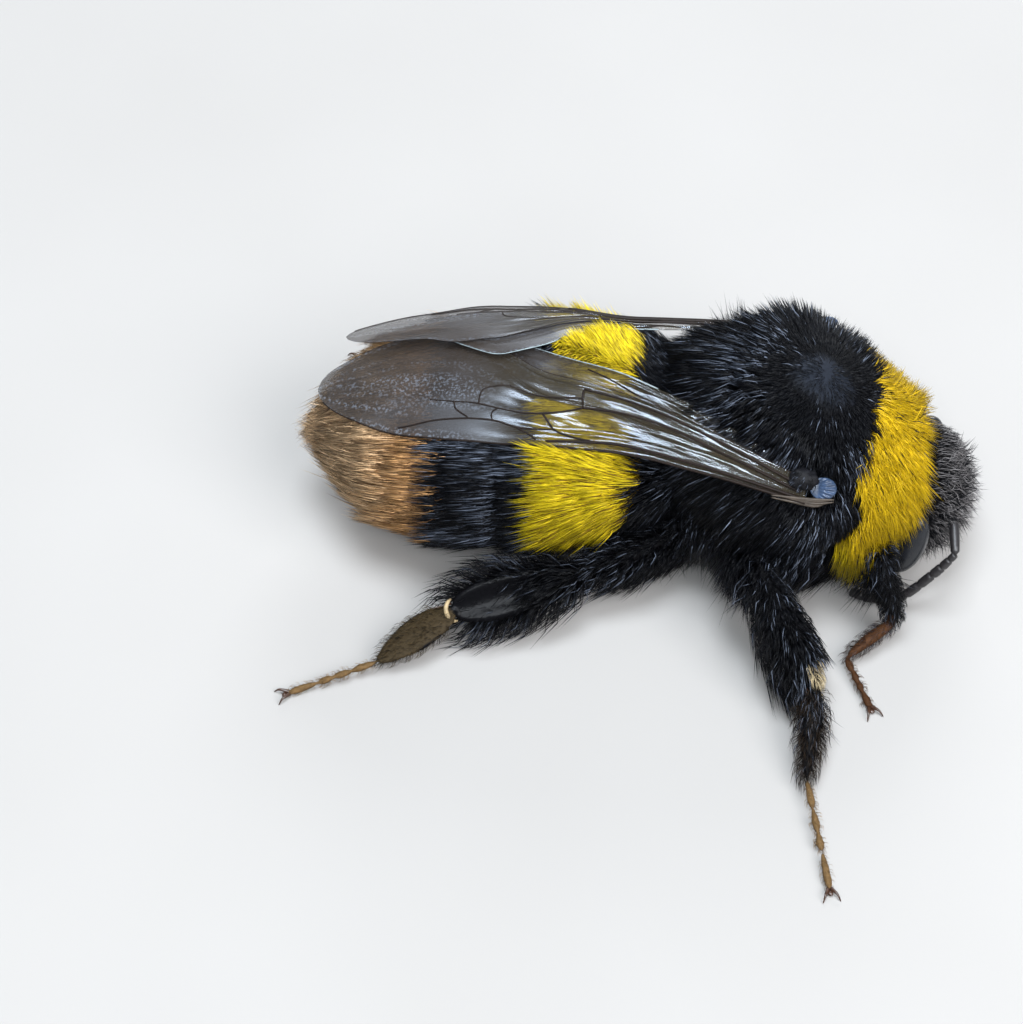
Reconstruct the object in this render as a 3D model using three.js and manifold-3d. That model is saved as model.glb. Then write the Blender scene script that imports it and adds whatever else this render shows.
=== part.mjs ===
// A queen bumblebee of the buff-tailed kind, life size, standing with its wings folded.
// Millimetres. +X is towards the head, +Y is the bee's left, +Z is up, and the feet stand at Z = 0.
// The solids carry the outline out to the tips of the hair.

import * as THREE from 'three';
import { mergeVertices } from 'three/addons/utils/BufferGeometryUtils.js';
import Module from 'manifold-3d';

const wasm = await Module();
wasm.setup();

// ---- driving dimensions ----

const GAP = 0.25;                    // clearance between neighbouring solids
const BLADE = 0.5;                   // thickness of a wing
const SOLE = 0.12;                   // height of the flat soles, before the bee is set on the floor
const RIGHT = -1;
const LEFT = 1;
const SIDES = { right: RIGHT, left: LEFT };

const THORAX = {
  centre: new THREE.Vector3(4.2, 0, 5.45),
  half: new THREE.Vector3(5.1, 4.75, 4.3),
  belly: 3.85,                       // half height below the centre
};

// In front of this X the body bends down and to the bee's right, so that its head is tucked.
const BEND = { from: 4.2, aside: -0.12, down: -0.2 };

const HEAD = {
  centre: new THREE.Vector3(8.6, -0.5, 3.35),
  half: new THREE.Vector3(1.65, 2.85, 2.6),
  tilt: 0.2,                         // radians, the mouth tucked back
  turn: -0.12,                       // radians, the face turned to the bee's right
  mouth: 0.66,                       // width at the mouth over the width at the eyes
};

const EYE = {
  centre: new THREE.Vector3(0.1, 2.42, -0.2),          // from the middle of the head, on the left
  half: new THREE.Vector3(0.68, 0.62, 1.5),
  lean: 0.12,                        // radians, the top of the eye leans inwards
};

const TEGULA = {
  centre: new THREE.Vector3(5.1, 3.85, 6.95),          // the left one
  half: new THREE.Vector3(0.62, 0.5, 0.34),
  lean: 0.75,                        // radians, it faces up and outwards
};

const ABDOMEN = {
  front: 0.9,                        // X of its hidden front end, inside the thorax
  rear: -12.2,                       // X of the tip of the tail
  axis: [5.1, 5.0, 4.85, 4.65, 4.45, 4.3, 4.15, 4.0],  // height of the middle, front to rear
  wide: [2.2, 3.65, 4.25, 4.4, 4.45, 4.25, 3.35, 0.7],  // half widths
  high: [2.2, 3.45, 3.85, 4.0, 4.0, 3.8, 2.9, 0.6],     // half heights
  joints: [-1.0, -4.9, -7.8, -9.7, -11.1],             // X of the joints between segments
  bulge: 0.2,                        // how far each segment reaches into the next, over its half height
};

const WING_CREST = [[5.2, 8.7], [0, 8.75], [-4, 8.55], [-7.5, 8.05], [-10, 7.3], [-12.6, 6.35]];
const WINGS = {
  right: {
    slope: 0.11,                     // how fast the wing falls away from the midline
    lift: -0.35,                     // it lies below the left pair
    costa: [[4.2, 4.25], [1.5, 3.78], [-1.7, 3.25], [-5, 2.98], [-7.5, 2.7], [-9.5, 2.2], [-11.7, 1.25], [-12.55, 0.55]],
    inner: [[4.2, 3.4], [0.8, 1.8], [-2.1, 0.5], [-4.5, -0.5], [-7, -1.9], [-9.5, -2.1], [-11.5, -1.2], [-12.55, -0.15]],
    hook: -7.6,
    hind: [[4.2, 0.3], [0.8, 0.75], [-2.1, 1.1], [-5, 1.5], [-7.6, 0.5]],
  },
  left: {
    slope: 0.14,
    lift: 0.4,
    costa: [[4.2, 4.2], [1.5, 3.85], [-1.7, 3.6], [-5, 3.85], [-8, 3.8], [-10, 3.4], [-11.2, 3.05], [-11.75, 2.75]],
    inner: [[4.2, 3.4], [0.8, 2.1], [-2.1, 1.9], [-3.3, 1.55], [-4.6, 0.5], [-6.3, 0.05], [-8.8, 1.2], [-10.4, 1.6], [-11.75, 2.25]],
    hook: -7.9,
    hind: [[4.2, 0.3], [0.8, 0.6], [-2.1, 0.8], [-5, 1.4], [-7.9, 0.5]],
  },
};

// Each leg bends at five points: hip, knee, ankle, heel and toe.
const LEGS = {
  front_right: [[6.4, -2.0, 2.6], [7.45, -4.35, 4.1], [8.1, -4.75, 1.0], [6.45, -6.15, 0.55], [7.35, -8.05, 0.2]],
  mid_right: [[3.6, -2.2, 2.2], [3.2, -4.7, 3.6], [5.3, -8.2, 1.6], [5.15, -11.4, 0.6], [6.0, -15.5, 0.2]],
  hind_right: [[0.9, -2.0, 2.2], [-2.7, -4.4, 2.3], [-7.4, -5.8, 1.4], [-9.9, -7.7, 0.65], [-12.9, -9.0, 0.2]],
  front_left: [[6.4, 2.0, 2.6], [7.2, 3.9, 3.9], [7.9, 5.2, 1.0], [6.5, 6.4, 0.55], [5.6, 8.1, 0.2]],
  mid_left: [[3.6, 2.2, 2.2], [2.6, 5.2, 4.6], [2.0, 7.1, 1.1], [-0.8, 7.7, 0.55], [-4.2, 7.6, 0.2]],
  hind_left: [[0.9, 2.0, 2.2], [-2.7, 4.5, 2.5], [-7.2, 5.9, 1.4], [-9.7, 7.1, 0.65], [-12.2, 6.8, 0.2]],
};

// Half widths and half thicknesses of the segments, with their hair.
const LEG_FORMS = {
  front: {
    femur: { wide: [0.7, 0.75, 0.55], deep: [0.65, 0.7, 0.5] },
    tibia: { wide: [0.45, 0.6, 0.6], deep: [0.42, 0.5, 0.45] },
    basitarsus: { wide: [0.42, 0.4, 0.3], deep: [0.3, 0.3, 0.26] },
  },
  mid: {
    femur: { wide: [0.75, 0.8, 0.6], deep: [0.7, 0.75, 0.55] },
    tibia: { wide: [0.6, 0.8, 0.95], deep: [0.5, 0.55, 0.55] },
    basitarsus: { wide: [0.6, 0.5, 0.34], deep: [0.34, 0.32, 0.28] },
  },
  hind: {
    femur: { wide: [0.75, 0.85, 0.6], deep: [0.7, 0.75, 0.55] },
    tibia: { wide: [0.6, 1.05, 1.25], deep: [0.5, 0.6, 0.55] },
    basitarsus: { wide: [0.75, 0.78, 0.5], deep: [0.36, 0.38, 0.3] },
  },
};
const TARSUS = { wide: [0.28, 0.27, 0.26, 0.25], deep: [0.26, 0.26, 0.25, 0.25] };
const REACH_IN = 0.3;                // how far a segment starts inside the one before it, before it is cut
const CLAW = { length: 0.65, spread: 0.32, wide: [0.16, 0.13, 0.08] };

const ANTENNA = {
  right: [[9.8, -1.2, 3.7], [10.0, -3.35, 3.2], [9.4, -3.5, 2.3], [8.3, -3.6, 0.9], [7.3, -3.4, 0.5], [6.6, -3.1, 0.42]],
  left: [[9.85, 0.0, 3.7], [10.0, 2.0, 2.5], [9.7, 2.6, 1.5], [9.0, 3.1, 0.8], [7.9, 3.4, 0.5], [6.9, 3.4, 0.42]],
  wide: [0.25, 0.26, 0.27, 0.26, 0.25],
};

// ---- materials ----

const finish = (color, roughness, metalness = 0) =>
  new THREE.MeshStandardMaterial({ color, roughness, metalness });
const LOOKS = {
  black: finish('#17161a', 0.85),
  yellow: finish('#d8ab12', 0.85),
  buff: finish('#a8763c', 0.85),
  shell: finish('#1b1d22', 0.35),
  eye: finish('#24262c', 0.25),
  wing: finish('#5c4a36', 0.4),
  horn: finish('#3a2417', 0.45),
  foot: finish('#8a5f2c', 0.6),
};

// ---- shape tools ----

// A value between those of a list that is spread evenly from 0 to 1.
function along(values, t) {
  const points = values.map((value, i) => new THREE.Vector2(i, value));
  return new THREE.SplineCurve(points).getPoint(t).y;
}

// The height of a smooth line through points whose X falls.
function lineThrough(points) {
  return (x) => {
    const last = points.length - 2;
    const found = points.findIndex((point) => point[0] < x) - 1;
    const i = found < -1 ? last : THREE.MathUtils.clamp(found, 0, last);
    const [x0, y0] = points[i];
    const [x1, y1] = points[i + 1];
    const u = THREE.MathUtils.clamp((x - x0) / (x1 - x0), 0, 1);
    return THREE.MathUtils.lerp(y0, y1, u);
  };
}

// Drops the faces that have no area, and turns the rest outwards.
function closed(geometry) {
  geometry.deleteAttribute('normal');
  geometry.deleteAttribute('uv');
  const merged = mergeVertices(geometry, 1e-4);
  const index = merged.index.array;
  const at = (i) => new THREE.Vector3().fromBufferAttribute(merged.attributes.position, i);
  const faces = [];
  let volume = 0;
  for (let i = 0; i < index.length; i += 3) {
    const [a, b, c] = [index[i], index[i + 1], index[i + 2]];
    if (a === b || b === c || a === c) continue;
    faces.push([a, b, c]);
    volume += at(a).dot(at(b).cross(at(c)));
  }
  const outward = volume > 0 ? faces : faces.map(([a, b, c]) => [a, c, b]);
  merged.setIndex(outward.flat());
  return merged;
}

// One closed skin over rings that all have the same number of points.
function loft(rings) {
  const around = rings[0].length;
  const positions = rings.flat().flatMap((point) => point.toArray());
  const index = [];
  for (let ring = 0; ring < rings.length - 1; ring += 1) {
    for (let i = 0; i < around; i += 1) {
      const next = (i + 1) % around;
      const a = ring * around + i;
      const b = ring * around + next;
      index.push(a, b, a + around, b, b + around, a + around);
    }
  }
  const geometry = new THREE.BufferGeometry();
  geometry.setAttribute('position', new THREE.Float32BufferAttribute(positions, 3));
  geometry.setIndex(index);
  return closed(geometry);
}

const pole = (point, count) => Array.from({ length: count }, () => point.clone());

// A rounded body along a curve: half widths across it, half thicknesses towards `facing`.
function sweep(curve, { wide, deep = wide, facing, steps = 6, around = 8, grow = 0 }) {
  const rings = [];
  for (let step = 0; step <= steps; step += 1) {
    const turn = (Math.PI * step) / steps;
    const t = (1 - Math.cos(turn)) / 2;
    const end = Math.sqrt(Math.sin(turn));
    const middle = curve.getPoint(t);
    const axis = curve.getTangent(t);
    middle.addScaledVector(axis, (2 * t - 1) * grow);
    const across = new THREE.Vector3().crossVectors(facing, axis).normalize();
    const out = new THREE.Vector3().crossVectors(axis, across).normalize();
    const ring = [];
    for (let i = 0; i < around; i += 1) {
      const angle = (2 * Math.PI * (i + 0.5)) / around;
      const reach = step === 0 || step === steps ? 0 : end;
      ring.push(middle.clone()
        .addScaledVector(across, Math.cos(angle) * reach * (along(wide, t) + grow))
        .addScaledVector(out, Math.sin(angle) * reach * (along(deep, t) + grow)));
    }
    rings.push(ring);
  }
  return loft(rings);
}

const limb = (from, to, form) => sweep(new THREE.LineCurve3(from, to), form);

// A limb that starts inside the one before it, which then cuts it to a snug joint.
function jointedLimb(from, to, form) {
  const start = from.clone().sub(to).setLength(REACH_IN).add(from);
  return limb(start, to, form);
}

// Moves every point of a unit ball by a rule, into a closed form.
function shapedBall(around, rows, rule) {
  const geometry = new THREE.SphereGeometry(1, around, rows).rotateX(Math.PI / 2);
  const positions = geometry.attributes.position;
  const point = new THREE.Vector3();
  for (let i = 0; i < positions.count; i += 1) {
    rule(point.fromBufferAttribute(positions, i));
    positions.setXYZ(i, point.x, point.y, point.z);
  }
  return closed(geometry);
}

// ---- joining and cutting ----

function solid(geometry) {
  const vertProperties = new Float32Array(geometry.attributes.position.array);
  const triVerts = new Uint32Array(geometry.index.array);
  return new wasm.Manifold(new wasm.Mesh({ numProp: 3, vertProperties, triVerts }));
}

function surface(manifold) {
  const mesh = manifold.getMesh();
  const geometry = new THREE.BufferGeometry();
  geometry.setAttribute('position', new THREE.Float32BufferAttribute(mesh.vertProperties, 3));
  geometry.setIndex(Array.from(mesh.triVerts));
  return closed(geometry);
}

const cutBy = (geometry, ...tools) =>
  surface(tools.reduce((piece, tool) => piece.subtract(solid(tool)), solid(geometry)));

const joined = (...geometries) =>
  surface(geometries.slice(1).reduce((piece, other) => piece.add(solid(other)), solid(geometries[0])));

// ---- wings ----

const crestLine = lineThrough(WING_CREST);
const OVERLAP = { from: -1.5, to: -4.5 };    // X where the left pair rises over the right pair

// The height of the middle of a wing above a point of the back.
function wingHeight(side, x, y) {
  const { slope, lift } = WINGS[side];
  const rise = THREE.MathUtils.smoothstep(-x, -OVERLAP.from, -OVERLAP.to);
  return crestLine(x) + lift * rise - slope * y * y;
}

const costaLine = { right: lineThrough(WINGS.right.costa), left: lineThrough(WINGS.left.costa) };
const innerLine = { right: lineThrough(WINGS.right.inner), left: lineThrough(WINGS.left.inner) };
const hindWidth = { right: lineThrough(WINGS.right.hind), left: lineThrough(WINGS.left.hind) };

// How much of a point lies under a wing: 1 below it, fading to 0 just beyond its edges.
function shade(side, x, y) {
  const reach = SIDES[side] * y;
  const beyond = Math.max(reach - costaLine[side](x), innerLine[side](x) - reach);
  return 1 - THREE.MathUtils.smoothstep(beyond, 0.5, 1.4);
}

// Presses the hair of the abdomen down where a wing lies on it.
function pressUnderWings(point) {
  for (const side of Object.keys(SIDES)) {
    const room = wingHeight(side, point.x, point.y) - BLADE / 2 - GAP;
    const pressed = Math.min(point.z, room);
    point.z = THREE.MathUtils.lerp(point.z, pressed, shade(side, point.x, point.y));
  }
  return point;
}

const PLAIN_BLADE = { over: BLADE / 2, under: BLADE / 2, flare: 0, across: 5 };

// A blade between an outer and an inner edge, lying along the back. Its top face is `over` and
// its bottom face `under` the middle of the wing, and the top is wider by `flare` at each edge.
function blade(side, stations, outer, inner, { over, under, flare, across } = PLAIN_BLADE) {
  const rings = stations.map((x) => {
    const ring = [];
    for (const isTop of [true, false]) {
      const wider = isTop ? flare : 0;
      for (let i = 0; i < across; i += 1) {
        const share = isTop ? i / (across - 1) : 1 - i / (across - 1);
        const y = SIDES[side] * THREE.MathUtils.lerp(outer(x) + wider, inner(x) - wider, share);
        const z = wingHeight(side, x, y) + (isTop ? over : -under);
        ring.push(new THREE.Vector3(x, y, z));
      }
    }
    return ring;
  });
  const middle = (ring) => ring.reduce((sum, point) => sum.add(point), new THREE.Vector3())
    .divideScalar(ring.length);
  const first = pole(middle(rings[0]), rings[0].length);
  const last = pole(middle(rings[rings.length - 1]), rings[0].length);
  return loft([first, ...rings, last]);
}

function forewing(side) {
  const { costa, hook } = WINGS[side];
  const tip = costa[costa.length - 1][0];
  const stations = [costa[0][0], 2.8, 1.2, -0.4, -2, -3.4, -4.8, -6.2, hook + 0.2, hook - GAP - 0.2, -9.4, -10.4];
  stations.push(THREE.MathUtils.lerp(-10.4, tip, 0.55), THREE.MathUtils.lerp(-10.4, tip, 0.85), tip);
  const inner = (x) => innerLine[side](x) + (x > hook - GAP ? hindWidth[side](x) + GAP : 0);
  return blade(side, stations, costaLine[side], inner);
}

function hindwing(side) {
  const { costa, hook } = WINGS[side];
  const stations = [costa[0][0], 2.8, 1.2, -0.4, -2, -3.4, -4.8, -6.2, hook + 0.2];
  const outer = (x) => innerLine[side](x) + hindWidth[side](x);
  return blade(side, stations, outer, innerLine[side]);
}

// The room over a wing's root, where the hair of the thorax parts.
function wingRoom(side) {
  const outer = (x) => costaLine[side](x) + 2 * GAP;
  const inner = (x) => innerLine[side](x) - GAP;
  const room = { over: 3.5, under: BLADE / 2 + GAP, flare: 0.5, across: 3 };
  return blade(side, [5.95, 4.2, 2, -0.2, -1.8], outer, inner, room);
}

// ---- head, thorax and abdomen ----

const AXIS = {
  x: new THREE.Vector3(1, 0, 0),
  y: new THREE.Vector3(0, 1, 0),
  z: new THREE.Vector3(0, 0, 1),
};

// Turns a point of the level head to the head's own tilt and place.
function onHead(point) {
  return point.applyAxisAngle(AXIS.y, HEAD.tilt).applyAxisAngle(AXIS.z, HEAD.turn).add(HEAD.centre);
}

function headForm(grow = 0) {
  return shapedBall(18, 12, (point) => {
    const low = THREE.MathUtils.smoothstep(-point.z, -0.2, 1);
    const narrow = THREE.MathUtils.lerp(1, HEAD.mouth, low);
    point.y *= narrow;
    point.multiply(HEAD.half.clone().addScalar(grow));
    onHead(point);
  });
}

function eyeForm(side, grow = 0) {
  const place = EYE.centre.clone().multiply(new THREE.Vector3(1, side, 1));
  return shapedBall(10, 8, (point) => {
    point.multiply(EYE.half.clone().addScalar(grow));
    onHead(point.applyAxisAngle(AXIS.x, side * EYE.lean).add(place));
  });
}

function thoraxForm(grow = 0) {
  return shapedBall(24, 16, (point) => {
    const high = point.z > 0 ? THORAX.half.z : THORAX.belly;
    point.x *= THORAX.half.x + grow;
    point.y *= THORAX.half.y + grow;
    point.z *= high + grow;
    point.add(THORAX.centre);
    const ahead = Math.max(point.x - BEND.from, 0);
    point.y += BEND.aside * ahead;
    point.z += BEND.down * ahead;
  });
}

// A ring of points on the abdomen at one X, from its half width, half height and middle.
function abdomenRing(x, grow = 0, around = 24) {
  const t = (ABDOMEN.front - x) / (ABDOMEN.front - ABDOMEN.rear);
  const ring = [];
  for (let i = 0; i < around; i += 1) {
    const angle = (2 * Math.PI * i) / around;
    const y = Math.cos(angle) * (along(ABDOMEN.wide, t) + grow);
    const z = along(ABDOMEN.axis, t) + Math.sin(angle) * (along(ABDOMEN.high, t) + grow);
    ring.push(pressUnderWings(new THREE.Vector3(x, y, z)));
  }
  return ring;
}

// The end of a segment: its last ring drawn in to the middle over a shallow dome.
function dome(ring) {
  const middle = ring.reduce((sum, point) => sum.add(point), new THREE.Vector3())
    .divideScalar(ring.length);
  const heights = ring.map((point) => point.z);
  const depth = ABDOMEN.bulge * (Math.max(...heights) - Math.min(...heights)) / 2;
  return [0.72, 0.4, 0].map((share) => ring.map((point) => {
    const drawn = middle.clone().lerp(point, share);
    drawn.x -= depth * (1 - share * share);
    return drawn;
  }));
}

function abdomenSegment(from, to, grow = 0) {
  const steps = Math.max(2, Math.round((from - to) / 0.9));
  const rings = [];
  for (let step = 0; step <= steps; step += 1) {
    rings.push(abdomenRing(THREE.MathUtils.lerp(from, to, step / steps), grow));
  }
  return loft([...dome(rings[0]).reverse(), ...rings, ...dome(rings[steps])]);
}

// ---- the model ----

const bee = new THREE.Group();
bee.name = 'bumblebee';

// Adds one named piece, with its own origin at `at`.
function addPiece(parent, name, geometry, look, at) {
  const place = at ?? new THREE.Box3().setFromBufferAttribute(geometry.attributes.position)
    .getCenter(new THREE.Vector3());
  geometry.translate(-place.x, -place.y, -place.z);
  const mesh = new THREE.Mesh(geometry, look.clone());
  mesh.name = name;
  mesh.position.copy(place);
  parent.add(mesh);
}

function addHead(group) {
  const sockets = [LEFT, RIGHT].map((side) => eyeForm(side, GAP));
  const scapes = Object.keys(SIDES).map((side) => antennaForm(side, 'scape', GAP));
  addPiece(group, 'head', cutBy(headForm(), ...sockets, ...scapes), LOOKS.black, HEAD.centre);
  for (const [side, sign] of Object.entries(SIDES)) {
    addPiece(group, `eye_${side}`, eyeForm(sign), LOOKS.eye);
    addPiece(group, `antenna_scape_${side}`, antennaForm(side, 'scape'), LOOKS.shell);
    const flagellum = cutBy(antennaForm(side, 'flagellum'), antennaForm(side, 'scape', GAP));
    addPiece(group, `antenna_flagellum_${side}`, flagellum, LOOKS.shell);
    addPiece(group, `mandible_${side}`, cutBy(mandibleForm(sign), headForm(GAP)), LOOKS.horn);
  }
  addPiece(group, 'proboscis', cutBy(proboscisForm(), headForm(GAP)), LOOKS.horn);
}

function antennaForm(side, part, grow = 0) {
  const points = ANTENNA[side].map((place) => new THREE.Vector3(...place));
  const facing = new THREE.Vector3(1, 0, 0.3);
  if (part === 'scape') {
    return limb(points[0], points[1], { wide: [0.25, 0.25, 0.27], facing, steps: 6, grow });
  }
  const curve = new THREE.CatmullRomCurve3(points.slice(1));
  return sweep(curve, { wide: ANTENNA.wide, facing: new THREE.Vector3(0.2, 0, 1), steps: 9, grow });
}

function mandibleForm(side) {
  const from = onHead(new THREE.Vector3(0.4, side * 1.15, -1.8));
  const to = onHead(new THREE.Vector3(0.7, side * 0.42, -2.85));
  return limb(from, to, { wide: [0.4, 0.42, 0.3], deep: [0.3, 0.3, 0.22], facing: AXIS.x });
}

function proboscisForm() {
  const curve = new THREE.QuadraticBezierCurve3(
    new THREE.Vector3(8.0, -0.4, 1.6),
    new THREE.Vector3(7.7, -0.35, 0.55),
    new THREE.Vector3(5.7, -0.2, 0.7),
  );
  return sweep(curve, { wide: [0.35, 0.36, 0.32, 0.22], facing: AXIS.z });
}

function addThorax(group) {
  const tegulae = [LEFT, RIGHT].map((side) => tegulaForm(side, GAP));
  const rooms = Object.keys(SIDES).map(wingRoom);
  const thorax = cutBy(thoraxForm(), headForm(GAP), ...rooms, ...tegulae);
  addPiece(group, 'thorax', thorax, LOOKS.black, THORAX.centre);
  for (const [side, sign] of Object.entries(SIDES)) {
    addPiece(group, `tegula_${side}`, tegulaForm(sign), LOOKS.shell);
    addPiece(group, `forewing_${side}`, forewing(side), LOOKS.wing);
    addPiece(group, `hindwing_${side}`, hindwing(side), LOOKS.wing);
  }
}

function tegulaForm(side, grow = 0) {
  return shapedBall(10, 6, (point) => {
    point.multiply(TEGULA.half.clone().addScalar(grow));
    point.applyAxisAngle(AXIS.x, -side * TEGULA.lean);
    point.add(TEGULA.centre.clone().multiply(new THREE.Vector3(1, side, 1)));
  });
}

function addAbdomen(group) {
  const { front, rear, joints } = ABDOMEN;
  const ends = [front, ...joints, rear];
  const coats = [LOOKS.black, LOOKS.yellow, LOOKS.black, LOOKS.buff, LOOKS.buff, LOOKS.buff];
  for (let i = 0; i < coats.length; i += 1) {
    const start = i === 0 ? front : ends[i] - GAP;
    const segment = abdomenSegment(start, ends[i + 1]);
    const shape = i === 0 ? cutBy(segment, thoraxForm(GAP)) : segment;
    addPiece(group, `abdomen_${i + 1}`, shape, coats[i]);
  }
}

// The foot: five short joints drawn as one, with its pair of claws, flat where it stands.
function tarsusForm(heel, toe) {
  const facing = AXIS.z;
  const foot = jointedLimb(heel, toe, { ...TARSUS, facing, steps: 6 });
  const ahead = new THREE.Vector3().subVectors(toe, heel).setZ(0).normalize();
  const aside = new THREE.Vector3(-ahead.y, ahead.x, 0);
  const claws = [1, -1].map((sign) => {
    const root = toe.clone().addScaledVector(ahead, -0.3).addScaledVector(aside, sign * 0.08);
    const tip = toe.clone().addScaledVector(ahead, CLAW.length - 0.3)
      .addScaledVector(aside, sign * CLAW.spread).setZ(SOLE + 0.02);
    return limb(root, tip, { wide: CLAW.wide, facing, steps: 3, around: 5 });
  });
  const form = joined(foot, ...claws);
  const positions = form.attributes.position;
  for (let i = 0; i < positions.count; i += 1) {
    positions.setZ(i, Math.max(positions.getZ(i), SOLE));
  }
  return closed(form);
}

function addLeg(group, name, bends) {
  const [hip, knee, ankle, heel, toe] = bends.map((place) => new THREE.Vector3(...place));
  const forms = LEG_FORMS[name.split('_')[0]];
  const outer = new THREE.Vector3(0, Math.sign(knee.y) * 0.7, 0.7);
  const up = AXIS.z;
  const femur = (grow) => limb(hip, knee, { ...forms.femur, facing: up, grow });
  const tibia = (grow) => jointedLimb(knee, ankle, { ...forms.tibia, facing: outer, grow });
  const basitarsus = (grow) => jointedLimb(ankle, heel, { ...forms.basitarsus, facing: up, grow });
  const trunk = [thoraxForm(GAP), abdomenSegment(ABDOMEN.front, ABDOMEN.joints[1], GAP)];
  addPiece(group, `femur_${name}`, cutBy(femur(0), ...trunk), LOOKS.black);
  addPiece(group, `tibia_${name}`, cutBy(tibia(0), femur(GAP), trunk[0]), LOOKS.black, knee);
  addPiece(group, `basitarsus_${name}`, cutBy(basitarsus(0), tibia(GAP)), LOOKS.black, ankle);
  addPiece(group, `tarsus_${name}`, cutBy(tarsusForm(heel, toe), basitarsus(GAP)), LOOKS.foot, heel);
}

const trunkGroup = new THREE.Group();
addHead(trunkGroup);
addThorax(trunkGroup);
addAbdomen(trunkGroup);
bee.add(trunkGroup);
for (const [name, bends] of Object.entries(LEGS)) {
  const legGroup = new THREE.Group();
  addLeg(legGroup, name, bends);
  bee.add(legGroup);
}

// The origin is on the floor, under the middle of the whole bee.
const box = new THREE.Box3().setFromObject(bee);
const middle = box.getCenter(new THREE.Vector3());
bee.position.set(-middle.x, -middle.y, -box.min.z);

export default bee;
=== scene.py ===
import math

import bpy
import numpy as np
from mathutils import Matrix, Vector
from mathutils.kdtree import KDTree


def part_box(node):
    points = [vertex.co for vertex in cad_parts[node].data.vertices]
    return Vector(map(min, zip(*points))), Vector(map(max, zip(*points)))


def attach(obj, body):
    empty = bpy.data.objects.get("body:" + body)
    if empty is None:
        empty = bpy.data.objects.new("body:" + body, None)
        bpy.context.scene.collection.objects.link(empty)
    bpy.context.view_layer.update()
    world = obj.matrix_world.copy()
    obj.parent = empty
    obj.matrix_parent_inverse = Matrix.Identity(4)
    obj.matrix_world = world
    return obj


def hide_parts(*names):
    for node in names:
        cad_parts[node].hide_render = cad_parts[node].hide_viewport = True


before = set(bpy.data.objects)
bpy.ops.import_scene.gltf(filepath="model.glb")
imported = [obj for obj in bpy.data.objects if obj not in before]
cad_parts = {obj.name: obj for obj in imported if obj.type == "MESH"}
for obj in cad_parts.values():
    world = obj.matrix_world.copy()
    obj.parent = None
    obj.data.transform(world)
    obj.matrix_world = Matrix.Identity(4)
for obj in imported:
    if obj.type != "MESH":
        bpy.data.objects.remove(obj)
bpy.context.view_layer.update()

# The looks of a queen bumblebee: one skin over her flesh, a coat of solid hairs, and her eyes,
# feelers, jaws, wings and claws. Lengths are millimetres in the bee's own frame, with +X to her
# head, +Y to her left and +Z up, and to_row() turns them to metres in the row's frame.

# ---- driving dimensions, the same as or close to those in the part's source ----

MM = 0.001
SIDES = {"right": -1, "left": 1}

TEGULA_PLACE = np.array([5.1, 3.85, 6.95])   # the left one
SHIFT = np.mean(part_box("tegula_left"), axis=0) / MM - TEGULA_PLACE
FLOOR = -SHIFT[2]                            # height of the floor in the bee's frame

THORAX = np.array([4.2, 0.0, 5.45])
THORAX_HALF = np.array([3.95, 3.65, 3.6])
THORAX_BELLY = 3.1
THORAX_REACH = 1.08                          # skin within this many half sizes is the thorax's
BEND = [0, -0.12, -0.2]                      # how it turns aside and droops ahead of its middle

HEAD = np.array([8.6, -0.5, 3.35])
HEAD_HALF = np.array([1.25, 2.42, 2.15])
HEAD_TILT = 0.2
HEAD_TURN = -0.12
HEAD_MOUTH = 0.66

EYE_PLACE = np.array([0.1, 2.42, -0.2])      # from the middle of the head, the left one
EYE_HALF = np.array([0.64, 0.56, 1.42])
EYE_LEAN = 0.12

ABDOMEN_FRONT = 1.2
ABDOMEN_REAR = -11.6
ABDOMEN_AXIS = [5.1, 5.05, 4.95, 4.8, 4.65, 4.5, 4.38, 4.23, 4.1]
ABDOMEN_WIDE = [1.3, 2.6, 3.3, 3.68, 3.78, 3.8, 3.6, 2.95, 1.7]
ABDOMEN_HIGH = [1.3, 2.35, 2.95, 3.25, 3.35, 3.35, 3.15, 2.55, 1.4]
JOINTS = [-1.0, -4.9, -7.8, -9.7, -11.1]
JOINT_STEP = 0.1                             # how far a plate of the abdomen stands over the next

WING_CREST = [[5.2, 8.7], [0, 8.75], [-4, 8.55], [-7.5, 8.05], [-10, 7.3], [-12.6, 6.35]]
# Each wing's slope to its sides, its lift behind, its front edge (costa) and rear edge (inner) as
# (x, distance from the middle), where its hind wing ends (hook) and that one's width (hind).
WINGS = {
    "right": {
        "slope": 0.11,
        "lift": -0.15,
        "costa": [[4.2, 4.25], [1.5, 3.78], [-1.7, 3.25], [-5, 2.98], [-7.5, 2.75], [-9.5, 2.4],
                  [-12.6, 1.75]],
        "inner": [[4.2, 3.4], [0.8, 1.8], [-2.1, 0.5], [-4.5, -0.5], [-7, -1.9], [-9.5, -2.2], [-12.6, -1.6]],
        "hook": -7.6,
        "hind": [[4.2, 0.3], [0.8, 0.75], [-2.1, 1.1], [-5, 1.5], [-7.6, 0.5]],
        "round_from": -8.8,
    },
    "left": {
        "slope": 0.14,
        "lift": 0.25,
        "costa": [[4.2, 4.2], [1.5, 3.85], [-1.7, 3.6], [-5, 3.85], [-8, 3.8], [-10, 3.5], [-11.9, 3.3]],
        "inner": [[4.2, 3.4], [0.8, 2.1], [-2.1, 1.9], [-3.3, 1.55], [-4.6, 0.5], [-6.3, 0.05], [-8.8, 1.2],
                  [-10.4, 1.5], [-11.9, 1.7]],
        "hook": -7.9,
        "hind": [[4.2, 0.3], [0.8, 0.6], [-2.1, 0.8], [-5, 1.4], [-7.9, 0.5]],
        "round_from": -10.6,
    },
}

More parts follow.
